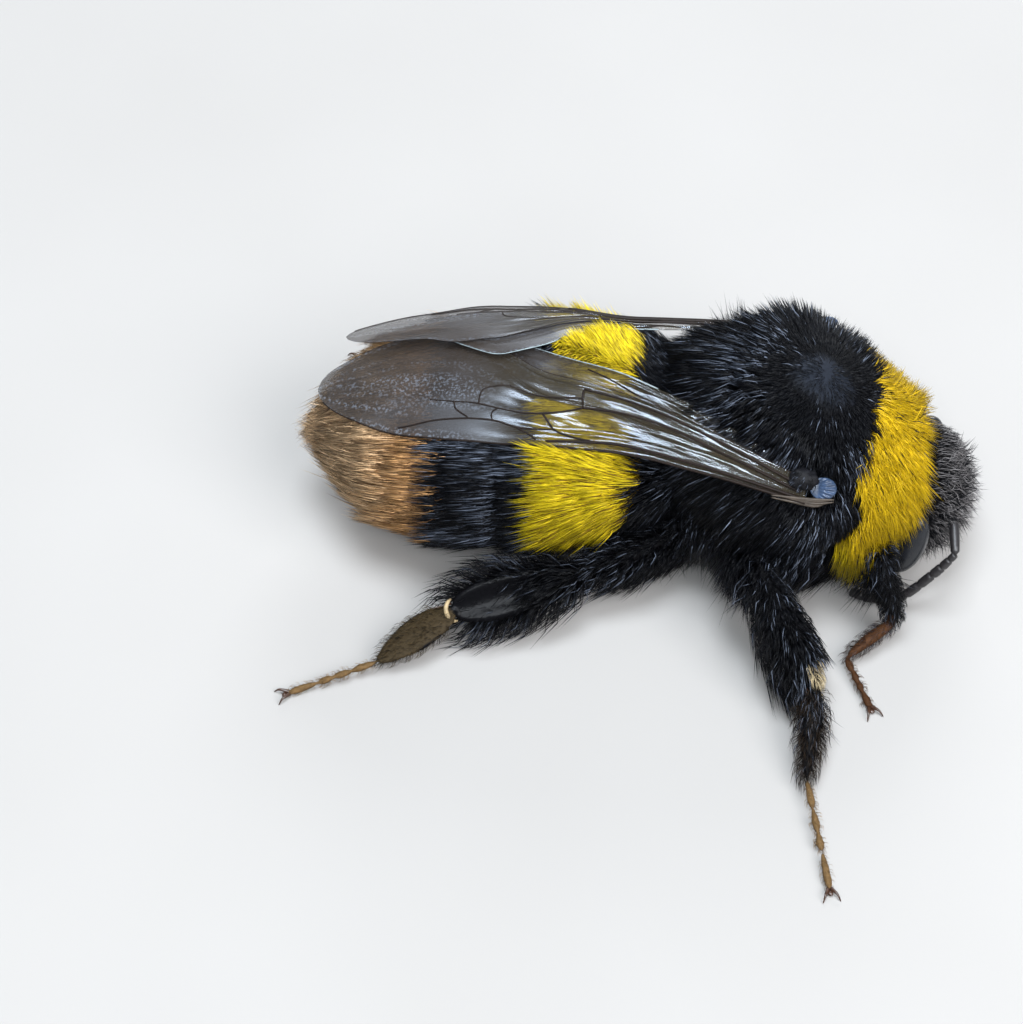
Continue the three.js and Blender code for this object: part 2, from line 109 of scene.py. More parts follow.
WING_FAR_SLOPE = 0.11
FOREWING_ROOT = 4.5                          # where each wing starts, along the bee
HINDWING_ROOT = 4.2
HINDWING_BELOW = 0.13                        # how far the hind wing lies below the forewing
HINDWING_OVERLAP = 0.5                       # and how far it reaches in under it
WING_ROOM = 0.42                             # how far the abdomen stays below the wings
SHADE_FRONT = 4.6                            # nothing ahead of this lies under a wing

# Each leg bends at five points: hip, knee, ankle, heel and toe.
LEGS = {
    "front_right": [[6.4, -2.0, 2.6], [7.45, -4.35, 4.1], [8.1, -4.75, 1.0], [6.45, -6.15, 0.55],
                    [7.35, -8.05, 0.27]],
    "mid_right": [[3.6, -2.2, 2.2], [3.2, -4.7, 3.6], [5.3, -8.2, 1.6], [5.15, -11.4, 0.6],
                  [6.0, -15.5, 0.27]],
    "hind_right": [[0.9, -2.0, 2.2], [-2.7, -4.4, 2.3], [-7.4, -5.8, 1.4], [-9.9, -7.7, 0.65],
                   [-12.9, -9.0, 0.27]],
    "front_left": [[6.4, 2.0, 2.6], [7.2, 3.9, 3.9], [7.9, 5.2, 1.0], [6.5, 6.4, 0.55],
                   [5.6, 8.1, 0.27]],
    "mid_left": [[3.6, 2.2, 2.2], [2.6, 5.2, 4.6], [2.0, 7.1, 1.1], [-0.8, 7.7, 0.55],
                 [-4.2, 7.6, 0.27]],
    "hind_left": [[0.9, 2.0, 2.2], [-2.7, 4.5, 2.5], [-7.2, 5.9, 1.4], [-9.7, 7.1, 0.65],
                  [-12.2, 6.8, 0.27]],
}

# Half widths and half thicknesses of the bare segments.
LEG_CORES = {
    "front": {
        "femur": ([0.36, 0.46, 0.34], [0.34, 0.42, 0.3]),
        "tibia": ([0.26, 0.36, 0.38], [0.24, 0.3, 0.28]),
        "basitarsus": ([0.24, 0.24, 0.19], [0.17, 0.17, 0.15]),
    },
    "mid": {
        "femur": ([0.42, 0.5, 0.36], [0.38, 0.46, 0.32]),
        "tibia": ([0.32, 0.46, 0.56], [0.28, 0.34, 0.34]),
        "basitarsus": ([0.42, 0.36, 0.22], [0.18, 0.18, 0.15]),
    },
    "hind": {
        "femur": ([0.42, 0.55, 0.38], [0.38, 0.48, 0.34]),
        "tibia": ([0.36, 0.76, 0.98], [0.28, 0.32, 0.28]),
        "basitarsus": ([0.7, 0.68, 0.46], [0.17, 0.17, 0.14]),
    },
}
COXA_CORE = ([0.6, 0.75, 0.5], [0.55, 0.6, 0.45])
FOOT_CORE = ([0.1, 0.14, 0.18], [0.09, 0.12, 0.14])
BASKET_HOLLOW = 0.85                         # the pollen basket's depth, of the tibia's half thickness
TARSUS_JOINTS = [0.0, 0.27, 0.48, 0.65, 1.0]   # where the four small foot joints meet, heel to toe

ANTENNAE = {
    "right": [[9.8, -1.2, 3.7], [10.0, -3.35, 3.2], [9.4, -3.5, 2.3], [8.3, -3.6, 0.9],
              [7.3, -3.4, 0.5], [6.6, -3.1, 0.42]],
    "left": [[9.85, 0.0, 3.7], [10.0, 2.0, 2.5], [9.7, 2.6, 1.5], [9.0, 3.1, 0.8],
             [7.9, 3.4, 0.5], [6.9, 3.4, 0.42]],
}
FLAGELLUM_JOINTS = 11

# ---- colours, linear ----

BLACK = np.array([0.0022, 0.0022, 0.0028])
SOOT = np.array([0.0055, 0.0062, 0.0085])    # the tips of black hairs
# GLINT is not the hair's own colour: it paints the highlights of black hairs that catch the light.
GLINT = np.array([0.172, 0.200, 0.262])      # the palest of them
# The root colours are darker than the tips: partly the hairs' own deeper colour, partly painted shade deep in
# the coat.
YELLOW = np.array([0.66, 0.44, 0.009])
YELLOW_ROOT = np.array([0.38, 0.22, 0.006])
LEMON = np.array([0.82, 0.64, 0.018])
TAN = np.array([0.76, 0.42, 0.17])
TAN_ROOT = np.array([0.26, 0.130, 0.055])
BUFF = np.array([0.93, 0.64, 0.37])
BUFF_ROOT = np.array([0.17, 0.092, 0.044])
# The bald disc's skin colour is a painted bluish sheen, not its own colour.
DISC_SHEEN = np.array([0.014, 0.017, 0.024])      # painted bluish sheen on the bald disc of the thorax
# GREY paints the sheen on the tips of the head's black hair.
GREY = np.array([0.25, 0.235, 0.235])
AMBER = np.array([0.21, 0.125, 0.052])
RUFOUS = np.array([0.085, 0.036, 0.015])
OLIVE = np.array([0.082, 0.057, 0.028])
CREAM = np.array([0.62, 0.50, 0.30])

# ---- small tools ----


def smooth(x, start, end):
    """0 at start, 1 at end, a soft change between them and level beyond."""
    t = np.clip((x - start) / (end - start), 0, 1)
    return t * t * (3 - 2 * t)


def mix(a, b, share):
    return a + (b - a) * share


def blunted(past, reach, least=0):
    """The half width of a round end: 1 before it, and down a quarter circle to its tip at reach."""
    return np.sqrt(np.clip(1 - (np.maximum(past, 0) / reach) ** 2, least, 1))


def tint(a, b, share):
    """Rows of colour between a and b."""
    return mix(a, b, np.asarray(share)[:, None])


def unit(v):
    return v / np.maximum(np.linalg.norm(v, axis=-1, keepdims=True), 1e-9)


def dot(a, b):
    return np.sum(a * b, axis=-1)


def degrees_from(directions, axis):
    return np.degrees(np.arccos(np.clip(directions @ axis, -1, 1)))


def spline(values, t):
    """A value, or a point, of a smooth curve through evenly spread ones."""
    values = np.asarray(values, float)
    last = len(values) - 1
    place = np.clip(np.asarray(t, float), 0, 1) * last
    i = np.minimum(place.astype(int), last - 1)
    w = place - i
    if values.ndim == 2:
        w = w[..., None]
    here = values[i]
    after = values[i + 1]
    start = (after - values[np.maximum(i - 1, 0)]) / 2
    end = (values[np.minimum(i + 2, last)] - here) / 2
    cubic = 2 * here - 2 * after + start + end
    square = -3 * here + 3 * after - 2 * start - end
    return ((cubic * w + square) * w + start) * w + here


def rounded_line(points, blur):
    """y of a line through (x, y) points whose x falls, with its corners rounded off."""
    known_x, known_y = np.array(points)[::-1].T
    step = 0.05
    x = np.arange(known_x[0] - 3, known_x[-1] + 3, step)
    slopes = np.diff(known_y) / np.diff(known_x)
    y = np.interp(x, known_x, known_y)
    y += np.minimum(x - known_x[0], 0) * slopes[0] + np.maximum(x - known_x[-1], 0) * slopes[-1]
    reach = int(3 * blur / step)
    bell = np.exp(-0.5 * (np.arange(-reach, reach + 1) * step / blur) ** 2)
    y = np.convolve(np.pad(y, reach, mode="edge"), bell / bell.sum(), mode="valid")
    return lambda at: np.interp(at, x, y)


def turned(points, axis, angle):
    return points @ np.array(Matrix.Rotation(angle, 3, axis)).T


def on_head(points):
    """From the level head, centred on the origin, to the head's own tilt and place."""
    return turned(turned(np.asarray(points, float), "Y", HEAD_TILT), "Z", HEAD_TURN) + HEAD


def facing_ahead(points):
    """From the middle of the head, with its turn to the side taken out."""
    return turned(points - HEAD, "Z", -HEAD_TURN)


def off_head(points):
    """The way back of on_head()."""
    return turned(facing_ahead(points), "Y", -HEAD_TILT)


def to_row(points):
    return (np.asarray(points) + SHIFT) * MM


def wander(points, scale, seed):
    """A smooth value from -1 to 1 that drifts from place to place, without a pattern that shows."""
    way = np.random.default_rng(seed)
    total = np.zeros(len(points))
    for octave in range(5):
        direction = unit(way.normal(size=3))
        pitch = scale * 0.75 ** octave
        total += np.sin(points @ direction * 2 * math.pi / pitch + way.uniform(0, 6.28))
    return total / 3.2


# ---- meshes ----


def shown(name, data):
    """An object of that name in the scene."""
    made = bpy.data.objects.new(name, data)
    bpy.context.scene.collection.objects.link(made)
    return made


def piece(name, points, faces, material, slot, replaced=()):
    """One smooth mesh piece from points in the bee's frame and an array of triangles."""
    mesh = bpy.data.meshes.new(name)
    mesh.vertices.add(len(points))
    mesh.vertices.foreach_set("co", to_row(points).astype(np.float32).ravel())
    mesh.loops.add(faces.size)
    mesh.loops.foreach_set("vertex_index", faces.astype(np.int32).ravel())
    mesh.polygons.add(len(faces))
    mesh.polygons.foreach_set("loop_start", np.arange(0, faces.size, 3, dtype=np.int32))
    mesh.update(calc_edges=True)
    mesh.polygons.foreach_set("use_smooth", np.ones(len(faces), bool))
    mesh.materials.append(material)
    made = shown(name, mesh)
    if replaced:
        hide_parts(*replaced)
    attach(made, "root")
    return made


def keep(made, name, kind, values):
    """Keeps a value for each vertex, for the material to read."""
    field = {"FLOAT": "value", "FLOAT_VECTOR": "vector", "FLOAT_COLOR": "color"}[kind]
    attribute = made.data.attributes.new(name, kind, "POINT")
    attribute.data.foreach_set(field, np.asarray(values, np.float32).ravel())


def keep_colours(made, colours):
    keep(made, "coat", "FLOAT_COLOR", np.pad(colours, ((0, 0), (0, 1)), constant_values=1))


def rings_mesh(rings):
    """Points and triangles of a closed tube over rings: an array (rings, around, 3)."""
    count, around = rings.shape[:2]
    ring, i = np.meshgrid(np.arange(count - 1), np.arange(around), indexing="ij")
    a = (ring * around + i).ravel()
    b = (ring * around + (i + 1) % around).ravel()
    first_end = count * around
    i = np.arange(around)
    after = (i + 1) % around
    base = (count - 1) * around
    faces = [
        np.stack([a, b, a + around], 1),
        np.stack([b, b + around, a + around], 1),
        np.stack([after, i, np.full(around, first_end)], 1),
        np.stack([base + i, base + after, np.full(around, first_end + 1)], 1),
    ]
    ends = np.stack([rings[0].mean(0), rings[-1].mean(0)])
    return np.concatenate([rings.reshape(-1, 3), ends]), np.concatenate(faces)


def joined(parts):
    """Several (points, faces) as one."""
    starts = np.cumsum([0, *[len(points) for points, _ in parts]])
    points = np.concatenate([points for points, _ in parts])
    return points, np.concatenate([faces + start for (_, faces), start in zip(parts, starts)])


def tube(points, radii, around=8, flat=1.0, facing=(0, 0, 1)):
    """A round cord through points, with a radius at each. flat squeezes it towards facing."""
    ahead = unit(np.gradient(points, axis=0))
    across = unit(np.cross(np.array(facing, float), ahead))
    out = unit(np.cross(ahead, across))
    angle = 2 * np.pi * np.arange(around) / around
    ring = np.cos(angle)[None, :, None] * across[:, None] + flat * np.sin(angle)[None, :, None] * out[:, None]
    return rings_mesh(points[:, None] + ring * radii[:, None, None])


def sphere(a, b):
    """x, y and z of a unit sphere from a, round it, and b, from its top down, each from 0 to 1."""
    turn = 2 * np.pi * a
    polar = np.pi * b
    return np.sin(polar) * np.cos(turn), np.sin(polar) * np.sin(turn), np.cos(polar) + 0 * turn


def ball(place, half, rows, around, rule=lambda points: points):
    """A closed ellipsoid, reshaped by a rule."""
    b = np.linspace(0.02, np.pi - 0.02, rows)[:, None] / np.pi
    points = np.stack(sphere(np.arange(around)[None] / around, b), -1).reshape(-1, 3) * half
    return rings_mesh((rule(points) + place).reshape(rows, around, 3))


# ---- materials ----


class Look:
    """One material's node tree, built step by step."""

    def __init__(self, name, **values):
        self.material = bpy.data.materials.new(name)
        self.material.use_nodes = True
        self.nodes = self.material.node_tree.nodes
        self.links = self.material.node_tree.links
        self.shader = self.nodes["Principled BSDF"]
        for socket, value in values.items():
            self.shader.inputs[socket.replace("_", " ")].default_value = value

    def node(self, kind, **settings):
        made = self.nodes.new(kind)
        for key, value in settings.items():
            if hasattr(made, key):
                setattr(made, key, value)
            else:
                made.inputs[key.replace("_", " ")].default_value = value
        return made

    def drive(self, socket, source):
        self.links.new(source, self.shader.inputs[socket])

    def read(self, attribute, output="Fac"):
        return self.node("ShaderNodeAttribute", attribute_name=attribute).outputs[output]

    def place(self):
        return self.node("ShaderNodeTexCoord").outputs["Object"]

    def noise(self, scale, detail=3.0, place=None):
        made = self.node("ShaderNodeTexNoise", Scale=scale, Detail=detail)
        self.links.new(place or self.place(), made.inputs["Vector"])
        return made.outputs["Fac"]

    def ramp(self, value, start, end, first, last):
        """From the first colour to the last, or between two greys, as value goes from start to end."""
        made = self.node("ShaderNodeValToRGB")
        for element, position, colour in zip(made.color_ramp.elements, (start, end), (first, last)):
            element.position = position
            element.color = (*np.broadcast_to(colour, 3).tolist(), 1)
        self.links.new(value, made.inputs["Fac"])
        return made.outputs["Color"]

    def span(self, value, first, last):
        """A number from the first to the last as value goes from 0 to 1."""
        made = self.node("ShaderNodeMapRange", To_Min=first, To_Max=last)
        self.links.new(value, made.inputs["Value"])
        return made.outputs["Result"]

    def blend(self, share, first, second, kind="MIX"):
        made = self.node("ShaderNodeMix", data_type="RGBA", blend_type=kind)
        for name, value in (("Factor", share), ("A", first), ("B", second)):
            socket = [s for s in made.inputs if s.name == name and s.enabled][0]
            if isinstance(value, bpy.types.NodeSocket):
                self.links.new(value, socket)
            else:
                socket.default_value = value
        return [s for s in made.outputs if s.enabled][0]

    def bump(self, height, strength, distance):
        made = self.node("ShaderNodeBump", Strength=strength, Distance=distance)
        self.links.new(height, made.inputs["Height"])
        self.drive("Normal", made.outputs["Normal"])


def hair_look():
    """Reads each hair's own colour, with a little unevenness along it."""
    look = Look("hair", Roughness=0.4, Specular_IOR_Level=0.12)
    uneven = look.ramp(look.noise(2500.0), 0.3, 0.7, 0.72, 1.0)
    look.drive("Base Color", look.blend(1.0, look.read("coat", "Color"), uneven, "MULTIPLY"))
    return look.material


def skin_look():
    """The horny skin: dull and pitted under the coat, polished where it is bare."""
    look = Look("skin", Specular_IOR_Level=0.08)
    pits = look.noise(9000.0, detail=4.0)
    # Darker in the pits of the bump: painted shade.
    pit_shade = look.ramp(pits, 0.3, 0.65, 0.6, 1.0)
    look.drive("Base Color", look.blend(1.0, look.read("coat", "Color"), pit_shade, "MULTIPLY"))
    look.drive("Roughness", look.span(look.read("bare"), 0.62, 0.3))
    look.bump(pits, strength=0.35, distance=0.00002)
    return look.material


def shell_look(name, colour, roughness, scale=6000.0, specular=0.55):
    """Polished dark horn with fine wrinkles, darker in their troughs as painted shade."""
    look = Look(name, Specular_IOR_Level=specular, Roughness=roughness)
    wrinkles = look.noise(scale, detail=4.0)
    look.drive("Base Color", look.ramp(wrinkles, 0.35, 0.65, np.array(colour) * 0.55, colour))
    look.bump(wrinkles, strength=0.4, distance=0.00002)
    return look.material


def eye_look():
    """A compound eye: near-black brown under a lattice of very small lenses."""
    look = Look("eye", Roughness=0.26, Specular_IOR_Level=0.28, Coat_Weight=0.06, Coat_Roughness=0.12)
    lenses = look.node("ShaderNodeTexVoronoi", Scale=26000.0)
    look.links.new(look.place(), lenses.inputs["Vector"])
    patchy = look.ramp(look.noise(900.0), 0.3, 0.7, (0.006, 0.007, 0.009), (0.017, 0.018, 0.022))
    look.drive("Base Color", patchy)
    look.bump(lenses.outputs["Distance"], strength=0.35, distance=0.00001)
    return look.material


def wing_look():
    """Smoky brown membrane, darker and flecked bluish grey towards the tip, with fine wrinkles that catch the
    light.
    """
    look = Look("wing_membrane", Specular_IOR_Level=0.88, Specular_Tint=(0.78, 0.87, 1.0, 1.0))
    smoke = look.noise(350.0)
    near = look.ramp(smoke, 0.3, 0.7, (0.030, 0.024, 0.014), (0.056, 0.045, 0.026))
    far = look.ramp(smoke, 0.3, 0.7, (0.022, 0.016, 0.012), (0.040, 0.029, 0.021))
    outward = look.read("outward")
    grain = look.read("grain", "Vector")
    specks = look.ramp(look.noise(11000.0, 1.0), 0.52, 0.62, 0.0, 1.0)
    bands = look.ramp(look.noise(1.0, 1.0, grain), 0.45, 0.62, 0.08, 1.0)
    speckle = look.blend(1.0, specks, bands, "MULTIPLY")
    speckled = look.blend(speckle, far, (0.115, 0.124, 0.145, 1))
    look.drive("Base Color", look.blend(outward, near, speckled))
    look.drive("Roughness", look.span(outward, 0.11, 0.4))
    look.drive("Alpha", look.span(outward, 0.32, 0.56))
    look.bump(look.noise(1.0, 1.0, grain), strength=0.05, distance=0.00003)
    return look.material


HAIR = hair_look()
SKIN = skin_look()
HORN = shell_look("horn", (0.050, 0.022, 0.012), roughness=0.32)
KNOB = shell_look("wing_knob", (0.005, 0.005, 0.007), roughness=0.6, scale=2600.0, specular=0.16)
FEELER = shell_look("feeler", (0.018, 0.016, 0.017), roughness=0.42, scale=9000.0)
ROOT_PLATE = shell_look("wing_root_plate", (0.060, 0.046, 0.034), roughness=0.5, scale=3500.0, specular=0.3)
# The wing scale's bluish colour is a painted reflection of the sky in its polished shell.
TEGULA_SHELL = shell_look("tegula_shell", (0.036, 0.062, 0.118), roughness=0.34, scale=4000.0)
EYE = eye_look()
MEMBRANE = wing_look()
# The hind wing's pale bluish edge is a painted highlight along it.
EDGE = shell_look("wing_edge", (0.26, 0.32, 0.34), roughness=0.45, specular=0.3)
JOINT = shell_look("joint_skin", (0.36, 0.27, 0.15), roughness=0.5, specular=0.3)
VEIN = shell_look("wing_vein", (0.011, 0.006, 0.004), roughness=0.55, specular=0.15)

# ---- forms of the flesh ----
# A form gives points from a, round it from 0 to 1, and b, along it from 0 to 1.


def bent(points, way):
    """Ahead of its middle the thorax turns aside and droops. A way of -1 takes the bend out again."""
    ahead = np.maximum(points[..., 0] - THORAX[0], 0)
    return points + way * ahead[..., None] * BEND


def thorax_form(a, b):
    y, z, x = sphere(a, b)
    high = np.where(z > 0, THORAX_HALF[2], THORAX_BELLY)
    return bent(np.stack([x * THORAX_HALF[0], y * THORAX_HALF[1], z * high], -1) + THORAX, 1)


def thorax_unit(points):
    """The direction of each point from the middle of the straightened thorax, in half sizes."""
    return (bent(points, -1) - THORAX) / THORAX_HALF


def heading(points):
    return unit(thorax_unit(points))


def on_thorax(points):
    return np.linalg.norm(thorax_unit(points), axis=1) < THORAX_REACH


crest_line = rounded_line(WING_CREST, blur=0.8)
costa_lines = {side: rounded_line(WINGS[side]["costa"], blur=0.45) for side in SIDES}
inner_lines = {side: rounded_line(WINGS[side]["inner"], blur=0.35) for side in SIDES}
hind_widths = {side: rounded_line(WINGS[side]["hind"], blur=0.5) for side in SIDES}


def wing_height(side, x, y):
    rise = smooth(-x, 1.5, 4.5)
    slope = mix(WINGS[side]["slope"], WING_FAR_SLOPE, smooth(-x, 1.0, 8.0))
    return crest_line(x) + WINGS[side]["lift"] * rise - slope * y * y


def shade(side, x, y, soft):
    """1 under a wing, fading to 0 beyond its edges."""
    reach = SIDES[side] * y
    beyond = np.maximum(reach - costa_lines[side](x), inner_lines[side](x) - reach)
    tip = WINGS[side]["costa"][-1][0]
    beyond = np.maximum(beyond, np.maximum(tip - x, x - SHADE_FRONT))
    return 1 - smooth(beyond, 0.0, soft)


def abdomen_form(a, b):
    x = mix(ABDOMEN_FRONT, ABDOMEN_REAR, b)
    turn = 2 * np.pi * a
    ends = blunted(b - 0.86, 0.14) * blunted(0.08 - b, 0.08)
    step = np.zeros_like(x)
    for start, end in zip([ABDOMEN_FRONT, *JOINTS], [*JOINTS, ABDOMEN_REAR]):
        inside = (x <= start) & (x > end)
        t = (start - x) / (start - end)
        step += np.where(inside, JOINT_STEP * (np.maximum(t ** 2, 1 - smooth(t, 0, 0.2)) - 0.5), 0)
    up = np.sin(turn)
    wide = (spline(ABDOMEN_WIDE, b) + step) * ends
    high = (spline(ABDOMEN_HIGH, b) + step + 0.2 * smooth(-up, -0.2, 0.8)) * ends
    y = np.cos(turn) * wide
    z = spline(ABDOMEN_AXIS, b) + up * high
    for side in SIDES:
        room = wing_height(side, x, y) - WING_ROOM
        z = mix(z, np.minimum(z, room), shade(side, x, y, 0.8))
    return np.stack([x, y, z], -1)


def head_form(a, b):
    x, y, z = sphere(a, b)
    y = y * mix(1, HEAD_MOUTH, smooth(-z, -0.2, 1))
    x = x + 0.22 * np.exp(-(y / 0.4) ** 2 - ((z + 0.45) / 0.4) ** 2) * (x > 0)
    points = np.stack([x, y, z], -1) * HEAD_HALF
    return on_head(points.reshape(-1, 3)).reshape(points.shape)


def limb_form(start, end, wide, deep, facing, bow=0.0, hollow=0.0):
    """A rounded segment from start to end, half widths across it and half thicknesses to facing.

    bow arches it towards facing, and hollow dishes that side, as in a pollen basket.
    """
    start = np.array(start, float)
    end = np.array(end, float)
    axis = unit(end - start)
    across = unit(np.cross(np.array(facing, float), axis))
    out = unit(np.cross(axis, across))

    def form(a, b):
        turn = 2 * np.pi * a
        blunt = np.sin(np.pi * np.clip(b, 0, 1)) ** 0.35
        middle = start + (end - start) * b[..., None] + out * (bow * np.sin(np.pi * b))[..., None]
        w = (np.cos(turn) * spline(wide, b) * blunt)[..., None]
        dish = hollow * np.sin(turn) ** 4 * (np.sin(turn) > 0) * smooth(b, 0.1, 0.4)
        d = ((np.sin(turn) - dish) * spline(deep, b) * blunt)[..., None]
        return middle + across * w + out * d

    form.axis = axis
    form.across = across
    form.out = out
    return form


def leg_forms(name):
    """Every segment of one leg, from the hip out."""
    hip, knee, ankle, heel, toe = np.array(LEGS[name])
    cores = LEG_CORES[name.split("_")[0]]
    side = np.sign(knee[1])
    outer = (0, side * 0.7, 0.7)
    up = (0, 0, 1)
    hollow = BASKET_HOLLOW if name.startswith("hind") else 0.0
    over_knee = knee + unit(knee - ankle) * 0.15
    over_ankle = ankle + unit(ankle - heel) * 0.08
    forms = {
        "coxa": limb_form(hip + [0, -0.2 * side, 0.9], mix(hip, knee, 0.12), *COXA_CORE, up),
        "femur": limb_form(hip, knee, *cores["femur"], up, bow=0.05),
        "tibia": limb_form(over_knee, ankle, *cores["tibia"], outer, bow=0.06, hollow=hollow),
        "basitarsus": limb_form(over_ankle, heel, *cores["basitarsus"], up, bow=0.04),
    }
    for i in range(4):
        start = mix(heel, toe, TARSUS_JOINTS[i]) + unit(heel - toe) * 0.06
        end = mix(heel, toe, TARSUS_JOINTS[i + 1])
        forms[f"foot_{i + 1}"] = limb_form(start, end, *FOOT_CORE, up)
    return forms


def knob_form(side):
    """The lump over a wing's hinge, behind its scale."""

    def form(a, b):
        turn = 2 * np.pi * a
        polar = np.pi * b
        lumpy = 1 + 0.08 * np.sin(3 * turn + 2) * np.sin(2 * polar)
        lumpy += 0.07 * np.cos(7 * turn + 1) * np.sin(5 * polar)
        x, y, z = sphere(a, b)
        points = np.stack([0.52 * x * lumpy, 0.38 * y * lumpy, 0.25 * z], -1)
        tilted = turned(points.reshape(-1, 3), "X", -side * 0.6).reshape(points.shape)
        return tilted + TEGULA_PLACE * [1, side, 1] + [-0.7, -0.16 * side, 0.24]

    return form


FORMS = {
    "thorax": thorax_form,
    "abdomen": abdomen_form,
    "head": head_form,
    "neck": limb_form([6.9, -0.3, 4.6], [8.6, -0.5, 3.6], [1.1, 1.0, 1.1], [1.1, 1.0, 1.1], (0, 0, 1)),
}
for leg in LEGS:
    FORMS.update({f"{part}_{leg}": form for part, form in leg_forms(leg).items()})


def surface(form, a, b):
    """Points, outward normals and the area for each unit of a and b."""
    step = 1e-3
    here = form(a, b)
    round_it = form(a + step, b) - form(a - step, b)
    along_it = form(a, np.minimum(b + step, 1)) - form(a, np.maximum(b - step, 0))
    cross = np.cross(round_it, along_it)
    size = np.linalg.norm(cross, axis=-1)
    normals = cross / np.maximum(size, 1e-12)[..., None]
    inner = 0.5 + (b - 0.5) * 0.8
    core = (form(a, inner) + form(a + 0.5, inner)) / 2
    return here, np.where(dot(normals, here - core) < 0, -1, 1)[..., None] * normals, size


# ---- the markings, which skin and coat share ----

AHEAD = np.array([1.0, 0.0, 0.0])
DISC_CENTRE = unit(np.array([0.2, -0.1, 0.97]))
DISC_EDGE = (10, 22)                         # degrees from its centre, where the disc fades out
PELT_EDGE = (17, 34)
COLLAR_FRONT = 24                            # degrees from straight ahead
COLLAR_BACK = 60
COLLAR_LOW = -0.36                           # how low the collar reaches, where the belly is -1
YELLOW_FRONT = -1.15                         # the borders of the abdomen's bands on its back
YELLOW_REAR = -4.1
BUFF_FRONT = -7.75
FRONT_FEET = 6.2                             # the front basitarsi and most of the feet are ahead of this
HIND_FEET = -6                               # and the hind basitarsi behind this


def abdomen_band(points, ragged):
    """0 black in front, 1 yellow, 2 black behind it and 3 buff, with uneven borders."""
    at = points[:, 0] + ragged
    z = points[:, 2]
    front = YELLOW_FRONT - 0.16 * np.minimum(z - 5.2, 0) ** 2 - 2.5 * smooth(-z, -4.0, -3.3)
    return np.select([at < BUFF_FRONT, at < YELLOW_REAR, at < front], [3, 2, 1], 0)


def abdomen_colour(points, ragged):
    """Root colours and tip colours of the abdomen's hair."""
    band = abdomen_band(points, ragged)[:, None]
    rear = smooth(-points[:, 0] - ragged, 8.3, 10.0)
    root = np.where(band == 3, tint(TAN_ROOT, BUFF_ROOT, rear), np.where(band == 1, YELLOW_ROOT, BLACK))
    tip = np.where(band == 3, tint(TAN, BUFF, rear), np.where(band == 1, LEMON, SOOT))
    return root, tip


def thorax_is_yellow(points, ragged):
    """The collar, over the front of the thorax and down its sides."""
    direction = heading(points)
    z = direction[:, 2]
    off_front = degrees_from(direction, AHEAD) + ragged
    low_edge = COLLAR_LOW + 0.1 * ragged / 4
    back_edge = COLLAR_BACK - 9 * smooth(z, 0.55, 0.85) + 5 * smooth(-z, 0.0, 0.3)
    return (off_front > COLLAR_FRONT) & (off_front < back_edge) & (z > low_edge)


def disc(points):
    """1 in the middle of the bald disc on top of the thorax, 0 from its edge on."""
    return 1 - smooth(degrees_from(heading(points), DISC_CENTRE), *DISC_EDGE)


def pelt(points):
    """1 where the thorax's hair lies flat: round the disc, in front of it and down her right side."""
    x, y, z = heading(points).T
    left = mix(1.2, 0.5, smooth(x, -0.35, 0.45))
    across = unit(np.stack([x, np.where(y < 0, 0.6, left) * y, z], 1))
    return 1 - smooth(degrees_from(across, DISC_CENTRE), *PELT_EDGE)


def face_shield(points):
    """1 on the polished shield above the jaws."""
    x, y, z = (off_head(points) / HEAD_HALF).T
    return (1 - smooth(np.hypot(y / 0.36, (z + 0.5) / 0.34), 0.75, 1.15)) * (x > 0)


# ---- skin ----

VOXEL = 0.085
LOWEST_SKIN = FLOOR + 0.01


def read_rows(items, field, kind):
    """The three numbers of a field, for each vertex or triangle."""
    values = np.empty(len(items) * 3, kind)
    items.foreach_get(field, values)
    return values.reshape(-1, 3)


def skin():
    """All the flesh as one surface, with no seam between its parts."""
    b, a = np.meshgrid(np.linspace(0.001, 0.999, 72), np.arange(64) / 64, indexing="ij")
    points, faces = joined([rings_mesh(form(a, b)) for form in FORMS.values()])
    mesh = bpy.data.meshes.new("flesh")
    mesh.from_pydata([tuple(p) for p in points], [], faces.tolist())
    flesh = shown("flesh", mesh)
    remesh = flesh.modifiers.new("one_skin", "REMESH")
    remesh.mode = "VOXEL"
    remesh.voxel_size = VOXEL
    soften = flesh.modifiers.new("soften", "SMOOTH")
    soften.factor = 0.5
    soften.iterations = 3
    solid = flesh.evaluated_get(bpy.context.evaluated_depsgraph_get())
    whole = solid.to_mesh()
    whole.calc_loop_triangles()
    points = read_rows(whole.vertices, "co", np.float32).astype(float)
    normals = read_rows(whole.vertices, "normal", np.float32).astype(float)
    triangles = read_rows(whole.loop_triangles, "vertices", np.int32)
    solid.to_mesh_clear()
    bpy.data.objects.remove(flesh)
    points[:, 2] = np.maximum(points[:, 2], LOWEST_SKIN)
    names = ["head", "thorax", *[f"abdomen_{i}" for i in range(1, 7)]]
    names += [f"{part}_{leg}" for leg in LEGS for part in ("femur", "tibia", "basitarsus", "tarsus")]
    made = piece("skin", points, triangles, SKIN, "coat_black", names)
    keep_colours(made, skin_colours(points))
    keep(made, "bare", "FLOAT", bareness(points, normals))


def on_abdomen(points):
    x, y, z = points.T
    b = (ABDOMEN_FRONT - x) / (ABDOMEN_FRONT - ABDOMEN_REAR)
    off_axis = np.hypot(y, z - spline(ABDOMEN_AXIS, b))
    return (x < 0.4) & (off_axis < 1.15 * spline(ABDOMEN_WIDE, b))


def beside(points, start, end):
    """How far points lie along the line from start to end, from 0 to 1, and how far from it."""
    start = np.array(start)
    way = np.array(end) - start
    along = np.clip(dot(points - start, way) / dot(way, way), 0, 1)
    return along, np.linalg.norm(points - start - way * along[:, None], axis=1)


def near_leg(points, first, reach):
    """Which points lie near any leg between one of its bends and the next."""
    found = np.zeros(len(points), bool)
    for bends in LEGS.values():
        along, away = beside(points, bends[first], bends[first + 1])
        found |= (away < reach) & (along > 0.02)
    return found


